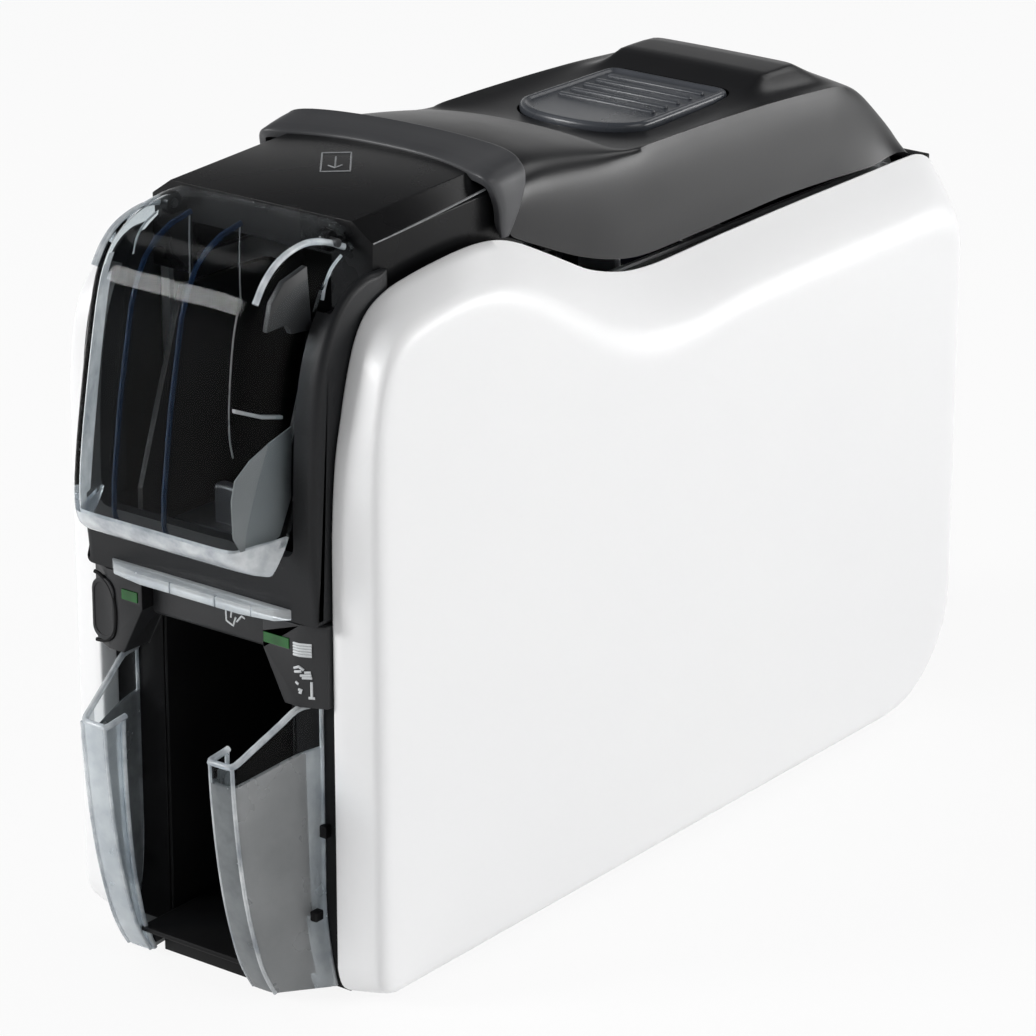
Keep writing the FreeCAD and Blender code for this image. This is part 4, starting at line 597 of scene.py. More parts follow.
def swept(name, path, radius, sides=3):
    data = bpy.data.curves.new(name, "CURVE")
    data.dimensions = "3D"
    data.bevel_depth = radius * SCALE
    data.bevel_resolution = sides
    data.use_fill_caps = True
    spline = data.splines.new("POLY")
    spline.points.add(len(path) - 1)
    for spot, point in zip(spline.points, path):
        spot.co = (*(Vector(point) * SCALE), 1.0)
    piece = bpy.data.objects.new(name, data)
    scene.collection.objects.link(piece)
    make_active(piece)
    bpy.ops.object.convert(target="MESH")
    return bpy.context.object


def bead(points, radius, steps=4):
    return swept("bead", smooth_line(points, steps), radius)


def rounded_block(name, low, high, radius, segments=3):
    deselect_all()
    centre = [(a + b) / 2.0 * SCALE for a, b in zip(low, high)]
    extent = [(b - a) * SCALE for a, b in zip(low, high)]
    bpy.ops.mesh.primitive_cube_add(size=1.0, location=centre, scale=extent)
    block = bpy.context.object
    block.name = name
    bpy.ops.object.transform_apply(location=True, rotation=True, scale=True)
    apply_modifier(block, "BEVEL", width=radius * SCALE, segments=segments)
    return block


def cut_with(piece, cutter):
    apply_modifier(piece, "BOOLEAN", object=cutter, operation="DIFFERENCE", solver="EXACT")
    bpy.data.objects.remove(cutter)


print("beads and blocks ready")

# %% [markdown]
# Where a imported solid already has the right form, a copy of it is cleaned, its edges are rounded and it
# is dressed under its own slot. Two parts under the cover are also cut off at the height of the deck.

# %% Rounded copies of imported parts
bevel_from, crisp_from = 28.0, 32.0


def refined(node, width, segments=2):
    source = nodes[node]
    piece = source.copy()
    piece.data = source.data.copy()
    piece.parent = None
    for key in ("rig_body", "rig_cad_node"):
        if key in piece:
            del piece[key]
    piece.hide_render = False
    piece.hide_viewport = False
    scene.collection.objects.link(piece)
    piece.hide_set(False)
    in_edit_mode(piece, lambda: bpy.ops.mesh.remove_doubles(threshold=0.000005),
                 lambda: bpy.ops.mesh.dissolve_limited(angle_limit=math.radians(0.6)))
    apply_modifier(piece, "BEVEL", width=width * SCALE, segments=segments, limit_method="ANGLE",
                   angle_limit=math.radians(bevel_from), use_clamp_overlap=True)
    smooth(piece, crisp_from)
    dress(piece, node + "_finish", body_of_node[node], slots[node], (node,))
    return piece


def trimmed(node, width, height):
    in_edit_mode(refined(node, width), lambda: bpy.ops.mesh.bisect(
        plane_co=(0.0, 0.0, height * SCALE), plane_no=(0.0, 0.0, 1.0), use_fill=True, clear_outer=True))


print("rounded copies ready")

# %% [markdown]
# ## White side panels
# Each panel is a shallow tray with a wavy top. Two closed lines give its shape: the rim, where it
# meets the black middle of the machine, and the crease, where the sloping band turns into the big
# face. Both are laid through measured points in pairs, and the planks run from the rim to the crease.

# %% Rim and crease of the right panel
panel_pairs = [
    ((-154.0, 3.0), (-151.5, 5.0)), ((-162.6, 6.4), (-158.4, 8.2)), ((-166.0, 15.0), (-161.0, 16.0)),
    ((-166.0, 24.0), (-161.0, 25.0)), ((-166.0, 70.0), (-161.0, 72.0)), ((-166.0, 120.0), (-161.0, 125.0)),
    ((-166.0, 155.0), (-161.0, 165.0)), ((-165.6, 176.0), (-161.0, 188.0)), ((-163.6, 198.0), (-160.6, 205.0)),
    ((-160.6, 212.0), (-159.2, 217.0)), ((-157.0, 226.0), (-156.6, 226.8)), ((-152.4, 238.0), (-152.2, 233.6)),
    ((-146.5, 245.4), (-146.0, 238.0)), ((-136.6, 250.1), (-138.0, 240.6)), ((-124.0, 252.3), (-125.5, 242.6)),
    ((-112.0, 253.5), (-112.0, 243.5)), ((-99.0, 254.3), (-100.0, 242.3)), ((-88.0, 254.2), (-90.0, 239.8)),
    ((-77.0, 252.7), (-80.6, 236.0)), ((-66.0, 249.0), (-70.5, 231.2)), ((-50.8, 241.8), (-55.0, 222.2)),
    ((-38.0, 235.4), (-41.0, 213.6)), ((-26.1, 229.6), (-29.0, 206.8)), ((-14.0, 225.6), (-15.5, 201.2)),
    ((-2.0, 222.9), (-2.0, 197.8)), ((12.0, 221.7), (10.0, 197.0)), ((28.0, 221.8), (25.0, 197.6)),
    ((50.0, 222.4), (49.0, 200.2)), ((95.0, 223.0), (94.0, 200.6)), ((150.0, 223.0), (148.0, 200.4)),
    ((176.0, 223.0), (172.0, 200.3)), ((186.0, 221.9), (183.5, 199.0)), ((194.2, 216.8), (191.5, 194.6)),
    ((197.5, 207.0), (194.5, 186.0)), ((197.5, 190.0), (194.5, 172.0)), ((197.5, 120.0), (194.5, 115.0)),
    ((197.5, 62.0), (194.5, 60.0)), ((197.5, 49.0), (194.5, 48.0)), ((194.0, 31.4), (191.2, 31.8)),
    ((184.0, 16.5), (181.6, 17.9)), ((169.0, 6.5), (167.6, 8.3)), ((151.5, 3.0), (151.0, 5.0)),
    ((140.0, 3.0), (140.0, 5.0)), ((60.0, 3.0), (60.0, 5.0)), ((-60.0, 3.0), (-60.0, 5.0)),
    ((-144.0, 3.0), (-143.0, 5.0)),
]


def panel_line(which, front, rear, low):
    line = smooth_line([(0.0, *pair[which]) for pair in panel_pairs], 5, True)
    return [Vector((0.0, min(max(spot.y, front), rear), max(spot.z, low))) for spot in line]


rim_line = panel_line(0, -166.0, 197.5, 3.0)
crease_line = panel_line(1, -161.0, 194.5, 5.0)
spine_line = [Vector((0.0, min(max(spot.y, -95.0), 120.0), 105.0)) for spot in crease_line]
print("rim and crease have", len(rim_line), "points each")

# %% Panel planks
rim_x, band_x, face_x = 52.0, 53.2, 69.0
band_crown = 0.7
round_start = 0.74
soft_edge = 6.0


def band_ring(share):
    x = band_x + (face_x - band_x) * share + band_crown * math.sin(math.pi * share)
    return at_x(blend_lines(rim_line, crease_line, share), x)


def rounded_ring(share):
    starts = [Vector(point) for point in band_ring(round_start)]
    turns = [Vector(point) for point in at_x(crease_line, face_x - 0.3)]
    ends = [Vector(point) for point in at_x(inset_line(crease_line, soft_edge), face_x - 0.25)]
    return [a.lerp(b, share).lerp(b.lerp(c, share), share) for a, b, c in zip(starts, turns, ends)]


rim_steps = ((4.0, 0.0), (1.3, 0.0), (0.5, 0.15), (0.1, 0.5))
panel_rings = [at_x(inset_line(rim_line, depth), rim_x + step) for depth, step in rim_steps]
panel_rings += [band_ring(share) for share in (0.0, 0.2, 0.4, 0.6, round_start)]
panel_rings += [rounded_ring(share) for share in (0.15, 0.3, 0.45, 0.6, 0.75, 0.9, 1.0)]
inner_line = inset_line(crease_line, soft_edge)
face_steps = ((0.06, 0.2), (0.16, 0.12), (0.34, 0.04), (0.6, 0.0))
panel_rings += [at_x(blend_lines(inner_line, spine_line, share), face_x - dip) for share, dip in face_steps]
dress_both(solid_loft("panel", panel_rings), ("right_panel", "left_panel"), "chassis", "white_gloss",
           (("right_side_panel",), ("left_side_panel",)), 50.0)

# %% [markdown]
# ## Main cover
# The cover is one moulded shell: high at the front under the collar, then a saddle, a flat deck round
# the release paddle, a raised rear deck and a tail that slopes down. Half sections were written at
# stations along the machine. They are mirrored, planked, and rounded by subdivision, and edge creases
# keep the flank line and the raised deck crisp.

# %% Cover sections
cover_sections = {
    -68.0: [(51.5, 251.0), (51.4, 253.0), (51.3, 257.0), (51.0, 263.0), (49.2, 268.4), (44.0, 271.6),
            (34.0, 272.8), (18.0, 273.6), (0.0, 274.0)],
    -52.0: [(51.5, 244.4), (51.3, 248.0), (51.0, 254.8), (50.4, 262.4), (48.8, 269.0), (43.6, 273.4),
            (34.0, 275.0), (18.0, 275.8), (0.0, 276.2)],
    -32.0: [(51.4, 235.4), (51.1, 240.0), (50.5, 248.6), (49.6, 258.4), (47.9, 266.4), (43.0, 270.6),
            (34.0, 272.4), (18.0, 273.8), (0.0, 274.4)],
    -12.0: [(51.4, 228.9), (50.9, 235.0), (50.0, 245.0), (48.7, 256.2), (46.9, 264.0), (42.2, 267.2),
            (34.0, 268.8), (18.0, 270.4), (0.0, 271.0)],
    2.0: [(51.4, 226.2), (50.7, 233.2), (49.5, 243.8), (48.0, 255.4), (46.1, 263.8), (42.0, 264.4),
          (34.6, 265.6), (20.0, 267.2), (0.0, 267.8)],
    12.0: [(51.4, 225.4), (50.6, 232.6), (49.3, 243.2), (47.9, 255.0), (46.0, 263.4), (41.9, 261.8),
           (35.2, 261.6), (27.0, 261.8), (0.0, 262.4)],
    24.0: [(51.4, 225.4), (50.5, 233.0), (49.2, 243.2), (47.8, 254.6), (46.0, 263.0), (41.8, 260.9),
           (36.0, 259.8), (28.5, 259.6), (0.0, 259.6)],
    60.0: [(51.4, 225.9), (50.5, 234.4), (49.2, 244.0), (47.7, 254.6), (45.9, 262.5), (41.8, 260.5),
           (36.0, 259.6), (28.5, 259.6), (0.0, 259.6)],
    92.0: [(51.4, 226.6), (50.4, 234.0), (49.1, 243.4), (47.6, 253.6), (45.9, 261.2), (41.8, 260.3),
           (35.4, 260.0), (28.5, 260.2), (0.0, 260.4)],
    99.5: [(51.4, 226.4), (50.4, 233.8), (49.1, 243.0), (47.6, 253.2), (45.9, 260.8), (41.9, 260.1),
           (33.2, 262.4), (28.5, 262.8), (0.0, 262.8)],
    109.0: [(51.4, 226.2), (50.4, 233.4), (49.0, 242.6), (47.6, 252.8), (45.9, 260.2), (38.0, 259.6),
            (32.2, 266.2), (28.5, 266.4), (0.0, 266.6)],
    131.0: [(51.4, 225.3), (50.4, 232.6), (49.0, 241.8), (47.5, 251.6), (45.8, 258.6), (39.4, 258.6),
            (33.0, 265.9), (28.5, 266.1), (0.0, 266.3)],
    138.0: [(51.4, 224.8), (50.3, 231.8), (48.8, 241.0), (47.4, 251.0), (45.7, 257.9), (40.6, 258.2),
            (34.2, 261.4), (28.5, 262.1), (0.0, 262.6)],
    149.0: [(51.4, 224.2), (50.2, 230.8), (48.6, 239.4), (47.0, 248.6), (45.3, 255.4), (41.4, 256.0),
            (34.4, 257.0), (28.0, 257.4), (0.0, 257.8)],
    158.0: [(51.4, 223.6), (50.1, 229.4), (48.2, 236.8), (46.4, 244.6), (44.8, 250.6), (41.0, 251.6),
            (34.0, 252.4), (27.0, 252.8), (0.0, 253.2)],
    170.0: [(51.3, 226.0), (49.8, 228.8), (47.8, 232.6), (45.8, 236.6), (44.2, 240.2), (40.6, 241.0),
            (34.0, 241.8), (27.0, 242.2), (0.0, 242.4)],
    181.8: [(51.1, 224.0), (49.4, 225.0), (47.4, 226.4), (45.6, 228.0), (43.8, 229.6), (40.2, 230.2),
            (34.0, 230.8), (27.0, 231.0), (0.0, 231.2)],
    183.0: [(51.0, 219.0), (49.4, 220.0), (47.4, 221.0), (45.6, 222.0), (43.8, 222.8), (40.2, 223.2),
            (34.0, 223.4), (27.0, 223.5), (0.0, 223.6)],
}


def full_section(y, half):
    right = [(x, y, z) for x, z in half]
    return right + [(-x, y, z) for x, z in reversed(half[:-1])]


print(len(cover_sections), "half sections")

# %% Cover shell


def crease_edges(piece, chosen, weight):
    net = bmesh.new()
    net.from_mesh(piece.data)
    layer = net.edges.layers.float.get("crease_edge") or net.edges.layers.float.new("crease_edge")
    count = 0
    for edge in net.edges:
        a, b = (vertex.co / SCALE for vertex in edge.verts)
        if chosen(a, b):
            edge[layer] = weight
            count += 1
    net.to_mesh(piece.data)
    net.free()
    return count


def both_at(a, b, axis, target, reach=0.25):
    return all(abs(abs(spot[axis]) - target) < reach for spot in (a, b))


flank_foot, deck_edges = 249.0, (99.5, 109.0, 131.0)
cover = planked("cover", [full_section(y, half) for y, half in cover_sections.items()], closed=False)
flank = crease_edges(cover, lambda a, b: min(a.y, b.y) >= 0.0 and min(a.z, b.z) > flank_foot
                     and both_at(a, b, 0, 45.9, 0.9), 0.8)
for last, weight in ((12.5, 0.2), (24.5, 0.5)):
    crease_edges(cover, lambda a, b: last - 12.0 < max(a.y, b.y) < last and a.z > flank_foot
                 and both_at(a, b, 0, 46.0, 0.3), weight)
lip = crease_edges(cover, lambda a, b: both_at(a, b, 0, 51.4, 0.3) and abs(a.z - b.z) < abs(a.y - b.y), 1.0)
deck = crease_edges(cover, lambda a, b: min(a.z, b.z) > 262.0 and min(a.y, b.y) > 98.0
                    and (both_at(a, b, 0, 33.0, 1.3) or any(both_at(a, b, 1, y) for y in deck_edges)), 0.95)
deck += crease_edges(cover, lambda a, b: both_at(a, b, 1, 2.0) and min(a.z, b.z) > 263.0, 0.55)
apply_modifier(cover, "SUBSURF", levels=2, render_levels=2)
tidy_normals(cover)
print("creased", flank, "flank,", lip, "lip and", deck, "deck edges")

# %% Opening for the paddle
paddle_keys = [
    (0.0, 28.2), (9.0, 28.9), (17.0, 31.2), (23.4, 35.4), (27.2, 40.6), (28.1, 46.0), (27.6, 70.0),
    (27.3, 90.0), (26.4, 94.8), (23.0, 96.8), (12.0, 96.9),
]
paddle_outline = [Vector((0.0, x, y)) for x, y in paddle_keys] + [Vector((0.0, 0.0, 96.9))]
paddle_outline += [Vector((0.0, -x, y)) for x, y in reversed(paddle_keys[1:])]
paddle_line = smooth_line(paddle_outline, 4, True)


def paddle_ring(inset, z):
    return [(spot.y, spot.z, z) for spot in inset_line(paddle_line, -inset)]


opening = solid_loft("opening", [paddle_ring(-1.0, z) for z in (250.0, 275.0)])
apply_modifier(cover, "SOLIDIFY", thickness=2.4 * SCALE, offset=-1.0)
cut_with(cover, opening)
smooth(cover)
dress(cover, "cover_shell", "cover", "cover_black", ("main_cover",))

# %% [markdown]
# ## Collar
# A dark grey arch stands over the front of the cover. Its front edge bows back in the middle, its
# rear edge is a thin bright ridge, and both come together in a point on each side. It is planked
# along the arch: each section runs from the front edge over the band and down behind the ridge.

# %% Collar edges
collar_pairs = [
    ((52.9, -74.2, 252.6), (53.2, -70.6, 252.6)), ((53.0, -75.0, 256.8), (53.6, -67.6, 257.2)),
    ((52.8, -75.4, 262.7), (53.6, -64.0, 262.9)), ((52.2, -77.0, 268.3), (53.4, -61.6, 268.8)),
    ((50.8, -78.6, 272.6), (52.6, -60.9, 273.6)), ((47.8, -79.2, 274.6), (50.2, -60.9, 276.9)),
    ((43.0, -78.4, 275.1), (45.6, -58.8, 278.0)), ((35.0, -75.2, 275.2), (37.4, -55.0, 278.0)),
    ((26.0, -72.4, 275.2), (27.4, -52.8, 278.0)), ((17.0, -70.8, 275.3), (17.6, -51.4, 278.0)),
    ((8.5, -70.0, 275.3), (8.6, -50.8, 278.0)), ((0.0, -69.8, 275.3), (0.0, -50.6, 278.0)),
]


def arch(which):
    half = [pair[which] for pair in collar_pairs]
    return smooth_line(half + [(-x, y, z) for x, y, z in reversed(half[:-1])])


collar_front, collar_rear = arch(0), arch(1)
print("collar arch of", len(collar_front), "sections")

# %% Collar band


def collar_section(i):
    front, rear = collar_front[i], collar_rear[i]
    along = collar_front[min(i + 1, len(collar_front) - 1)] - collar_front[max(i - 1, 0)]
    across = rear - front
    out = across.cross(along).normalized()
    if out.dot(Vector((front.x, 0.0, front.z - 245.0))) < 0.0:
        out = -out
    width = across.length
    step = across.normalized()
    thick = min(1.0, width / 8.0)
    profile = [(0.2, -3.2), (0.0, -1.0), (0.25, -0.35), (0.9, 0.0), (width * 0.3, 0.2),
               (width * 0.62, 0.2), (width - 1.6, -0.1), (width - 0.9, -0.03), (width - 0.3, -0.2),
               (width, -0.6), (width - 0.2, -4.5)]
    return [front + step * run + out * rise * thick for run, rise in profile]


collar = solid_loft("collar", [collar_section(i) for i in range(len(collar_front))])
smooth(collar, 45.0)
dress(collar, "collar", "cover", "collar_grey", ("cover_collar",))

# %% [markdown]
# ## Release paddle
# The paddle is pressed to free the cover. It has a rounded rim, a shallow field with five grip ribs
# on its rear part, and a front edge that bows forward. The rim is planked upwards from its outline,
# and one rib is modelled and then copied.

# %% Paddle body
paddle_levels = [(0.4, 258.5), (0.1, 259.3), (0.0, 261.0), (0.25, 262.0), (0.9, 262.6), (1.8, 262.75),
                 (2.5, 262.5), (3.1, 261.9), (4.2, 261.6)]
paddle = solid_loft("paddle", [paddle_ring(*level) for level in paddle_levels])

# %% Paddle ribs
first_rib_y, rib_pitch, rib_count = 56.5, 7.6, 5
rib_rows = [first_rib_y + rib_pitch * index for index in range(rib_count)]
ribs = [rounded_block("rib", (-21.5, y - 1.1, 260.75), (21.5, y + 1.1, 262.65), 0.7) for y in rib_rows]
paddle = join([paddle] + ribs)
smooth(paddle)
dress(paddle, "release_paddle", "release", "button_grey", ("release_button",))

# %% [markdown]
# ## Clear card door
# The door is a deep clear shell, U-shaped from above: a leaning front that rolls over into the top,
# and two side walls that flare back. It is planked upwards from the lip, then given its wall.

# %% Door stations
door_stations = [
    ((-186.5, 161.0), (-184.0, 161.2)), ((-192.6, 163.6), (-180.5, 164.8)), ((-196.2, 168.0), (-176.6, 169.6)),
    ((-197.3, 174.0), (-173.6, 175.4)), ((-197.1, 182.0), (-171.3, 184.0)), ((-195.6, 194.0), (-169.5, 194.6)),
    ((-193.1, 208.0), (-167.2, 208.0)), ((-190.3, 222.0), (-165.2, 221.0)), ((-187.3, 236.0), (-162.4, 235.0)),
    ((-184.9, 246.0), (-160.2, 244.6)), ((-182.0, 253.6), (-157.8, 250.8)), ((-177.6, 260.2), (-154.4, 255.0)),
    ((-171.4, 265.2), (-150.6, 258.0)), ((-163.6, 268.4), (-146.8, 260.0)), ((-155.0, 270.2), (-143.6, 261.4)),
    ((-147.0, 271.0), (-141.0, 262.4)), ((-139.6, 271.4), (-139.0, 263.0)),
]
door_plan = [(0.0, 0.0), (17.0, 0.0), (27.0, 0.0), (31.6, 0.01), (34.4, 0.05), (35.9, 0.13), (36.7, 0.24),
             (38.2, 0.46), (40.2, 0.73), (42.0, 1.0)]


def door_ring(front, rear):
    half = [(x, front[0] + (rear[0] - front[0]) * share, front[1] + (rear[1] - front[1]) * share)
            for x, share in door_plan]
    return [(-x, y, z) for x, y, z in reversed(half[1:])] + half


door = planked("door", [door_ring(*station) for station in door_stations], closed=False)
apply_modifier(door, "SUBSURF", levels=1, render_levels=1)
tidy_normals(door)
apply_modifier(door, "SOLIDIFY", thickness=2.2 * SCALE, offset=-1.0)
print("door shell", len(door.data.polygons), "faces")

# %% [markdown]
# Two blue fins stand inside the door and follow its front. A fin is a thin plate between the inner
# face of the shell and a curve a few millimetres behind it. The lower lip of the door is frosted by
# its thickness, so the faces there get a cloudier and whiter clear plastic, which also paints in the
# bright shine of the thick edge as a painted highlight. A band on the inside of the left wall gets
# the same plastic as a painted band of light.

# %% Door fins and lip
fin_front = [(-152.0, 268.0), (-162.0, 266.4), (-170.0, 263.0), (-175.8, 257.8), (-180.0, 251.0),
             (-183.2, 243.0), (-190.0, 212.0), (-194.2, 184.0), (-194.6, 174.0), (-192.6, 168.2)]
fin_back = [(y + 1.2, z - 1.7) for y, z in fin_front[:3]] + [(y + 1.9, z - 0.5) for y, z in fin_front[3:]]
fin_line = [(0.0, *point) for point in fin_front] + [(0.0, *point) for point in reversed(fin_back)]


def door_fin(x):
    edge = [Vector(point) for point in fin_line]
    return thin_plate("fin", at_x(edge, x - 0.45), at_x(edge, x + 0.45))


fin_places = {"left": -18.0, "right": 4.0}
smooth(door)
dress(door, "card_door", "door", "clear_smoke", ("input_door",))
# The lip faces get the whiter clear plastic: its frosting, and a painted highlight for the shine of the thick
# edge.
print("frosted", paint_faces(door, "clear_edge", lambda c, n: c.z < 171.0 and c.y < -172.0), "lip faces")
# Painted light: a band of faces on the inside of the left wall gets the whiter clear plastic for the bright
# band of light that shows there.
print("painted light band", paint_faces(door, "clear_edge", lambda c, n: c.x < -33.0 and n.x > 0.1 and c.z < 254.0
                                  and c.y < -185.6 + 0.19 * (c.z - 182.0)), "faces")
for side, x in fin_places.items():
    dress(door_fin(x), "door_fin_" + side, "door", "clear_blue")

# %% [markdown]
# The corners of the door are thicker near the hinge and shine white there. A bead along each upper
# corner and a short arm at the hinge, in the whiter clear plastic, are a painted highlight for that
# white shine. Inside the right wall stands a grey fence that keeps the cards to the left, with a thin
# ledge above it and a darker guide block near the top.

# %% Door corner beads and arms
corner_path = [(34.9, -181.6, 253.2), (34.9, -177.2, 259.2), (34.9, -171.2, 264.0), (34.9, -163.4, 266.8),
               (35.2, -155.0, 267.6), (36.4, -147.0, 266.0), (38.4, -140.6, 263.2)]
arm_path = [(41.3, -155.4, 249.4), (41.3, -153.6, 254.8), (41.0, -150.0, 259.0), (40.4, -144.6, 261.6)]
inner_path = [(30.0, -183.3, 254.4), (30.0, -187.0, 241.9), (30.0, -189.6, 222.1), (30.0, -189.7, 208.2),
              (30.0, -188.5, 201.6)]
corner_bead = join([bead(corner_path, 1.15), bead(arm_path, 0.6)])
drops = [swept("bead", [(x, -152.4, 267.4), (x, -152.8, 254.0), (x, -153.0, 241.0)], 0.26)
         for x in fin_places.values()]
thin_lines = join([bead(inner_path, 0.3)] + drops)
smooth(thin_lines)
dress(thin_lines, "door_thin_ribs", "door", "edge_grey")
dress_both(corner_bead, ("door_corner_right", "door_corner_left"), "door", "clear_edge")

# %% Card fences


def fence_plate(outline, thick):
    spots = [(34.0 + (y + 196.0) * 0.16, y, z) for y, z in outline]
    return thin_plate("plate", [(x - thick, y, z) for x, y, z in spots], spots)


fence = [(-194.4, 189.0), (-192.8, 195.6), (-186.6, 201.2), (-178.0, 205.4), (-168.6, 208.8), (-169.4, 184.0),
         (-174.4, 172.0), (-182.0, 168.0), (-190.6, 169.4), (-194.0, 176.0)]
ledge = [(-192.0, 220.2), (-181.0, 215.6), (-172.2, 213.4), (-172.4, 212.2), (-181.0, 214.2), (-192.0, 218.8)]
block = [(-178.2, 243.0), (-176.0, 252.4), (-170.6, 258.6), (-160.8, 262.0), (-159.4, 240.0), (-168.0, 240.4),
         (-169.6, 244.0)]
plates = ((fence, 0.7, "card_fence", "bin_grey"), (ledge, 1.6, "card_ledge", "mark_grey"),
          (block, 2.4, "guide_block", "guide_grey"))
for outline, thick, name, finish in plates:
    dress(fence_plate(outline, thick), name, "door", finish)

# %% [markdown]
# ## Hopper cap and fascia
# The cap is the bevelled block behind the door, and the fascia frames the door and carries the
# controls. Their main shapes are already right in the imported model, so its solids are copied and
# their edges are rounded, because a moulded edge always has a small radius that catches the light.

# %% Hopper cap
cap = refined("hopper_cap", 1.1, 3)

# %% Cap edge beads, a painted highlight
# Painted highlight: a pale grey bead along each lower side edge of the cap stands in for the bright line the
# light draws on that edge.
cap_highlight = [(47.7, -137.0, 265.1), (47.7, -120.0, 266.0), (47.7, -100.0, 267.5), (47.7, -77.0, 269.5)]
dress_both(bead(cap_highlight, 0.42), ("cap_edge_right", "cap_edge_left"), "chassis", "edge_grey")

# %% Upper fascia
fascia_profile = [
    (-172.0, 141.2), (-172.2, 148.0), (-173.4, 158.0), (-174.0, 168.0), (-173.8, 184.0), (-172.8, 204.0),
    (-170.9, 220.0), (-167.4, 233.6), (-161.6, 245.0), (-154.0, 252.6), (-145.5, 256.0), (-138.0, 256.4),
]
fascia_back = [(-133.0, 256.4), (-133.0, 200.0), (-133.0, 141.2), (-150.0, 141.2)]
fascia_line = smooth_line([(0.0, *point) for point in fascia_profile])
fascia_line += [Vector((0.0, *point)) for point in fascia_back]
fascia_steps = [(51.6, 2.4), (51.4, 1.3), (50.8, 0.5), (49.9, 0.1), (48.6, 0.0)]
fascia_rings = [at_x(inset_line(fascia_line, depth), x) for x, depth in fascia_steps]
fascia_rings += [at_x(inset_line(fascia_line, depth), -x) for x, depth in reversed(fascia_steps)]
upper_frame = solid_loft("upper_frame", fascia_rings)
for name, low, high, radius in (("mouth", (-42.8, -230.0, 164.6), (42.8, -100.0, 300.0), 4.0),
                                ("pocket", (-42.0, -169.0, 144.0), (42.0, -100.0, 200.0), 1.0),
                                ("hollow", (-48.8, -160.0, 144.0), (48.8, -100.0, 300.0), 1.0)):
    cut_with(upper_frame, rounded_block(name, low, high, radius))
smooth(upper_frame)
dress(upper_frame, "upper_frame", "chassis", "fascia_grey", ("upper_fascia",))

# %% Lower fascia and small parts
small_parts = {"lower_fascia": 0.7, "centre_plate": 0.8, "power_button": 0.4, "rear_panel": 0.8,
               "base_chassis": 0.8, "output_chute": 0.5, "bin_floor": 0.6, "rubber_feet": 0.8}
small_copies = {node: refined(node, width) for node, width in small_parts.items()}
trimmed("head_bracket", 0.5, 256.8)
trimmed("button_well", 0.6, 254.9)
light_guide = refined("slot_light_guide", 0.5)
for x in (-8.4, 11.6, 26.9):
    groove = rounded_block("groove", (x - 0.35, -183.0, 139.0), (x + 0.35, -177.2, 148.0), 0.05, 1)
    cut_with(light_guide, groove)

# %% [markdown]
# The power button sits in a narrow black gap. A thin black seal follows its rounded side.

# %% Power button seal
seal_line = [(-48.4, 138.4), (-46.0, 137.8), (-41.8, 134.4), (-39.5, 128.6), (-39.3, 121.6), (-40.6, 116.8),
             (-44.0, 113.8), (-48.4, 113.2)]
seal = bead([(x, -172.0, z) for x, z in seal_line], 0.7)
smooth(seal)
dress(seal, "power_button_seal", "chassis", "dark_plastic")

# %% [markdown]
# ## Printed marks
# Small pale signs tell what the lamps mean: a card, a cloth and an arrow beside the right lamp, a card
# on the centre plate, and a card with an arrow on the hopper cap. Each sign is a set of thin strokes.
# A stroke is dropped onto the surface point by point, so that it follows the moulded form.

# %% Sign strokes


def dropped(piece, point, along):
    start = (Vector(point) - Vector(along) * 60.0) * SCALE
    hit, spot = piece.ray_cast(start, Vector(along))[:2]
    return spot / SCALE if hit else Vector(point)


def sign(name, piece, strokes, along, radius, finish="mark_white"):
    parts = []
    for stroke in strokes:
        legs = zip(stroke, stroke[1:])
        line = [Vector(a).lerp(Vector(b), step / 5.0) for a, b in legs for step in range(5)]
        line.append(Vector(stroke[-1]))
        parts.append(swept("stroke", [dropped(piece, point, along) for point in line], radius, sides=1))
    mark = join(parts)
    smooth(mark)
    dress(mark, name, "chassis", finish)


def top_stroke(*points):
    return [(x, y, 280.0) for x, y in points]


def front_stroke(*points):
    return [(x, -190.0, z) for x, z in points]


down, rearward = (0.0, 0.0, -1.0), (0.0, 1.0, 0.0)
card_outline = top_stroke((-15.0, -87.0), (-7.0, -81.0), (5.6, -97.0), (-2.4, -103.2), (-15.0, -87.0))
arrow_shaft = top_stroke((-8.4, -87.6), (-1.4, -96.6))
arrow_head = top_stroke((-4.6, -96.4), (-1.0, -97.2), (-0.9, -93.4))
sign("cap_sign", cap, [card_outline, arrow_shaft, arrow_head], down, 0.3, "mark_grey")

# %% Signs on the fascia
for node in ("lower_fascia", "centre_plate", "power_button"):
    small_copies[node].data.materials[0] = finishes["pod_grey"]
lower_finish = small_copies["lower_fascia"]
# Painted shade: the side walls and the low faces of the output bay, where shade falls, are painted black.
print("painted shade on", paint_faces(lower_finish, "dark_plastic", lambda c, n: abs(c.x) < 44.0
                              and (abs(n.x) > 0.9 or c.z < 108.0)), "faces of the output bay")

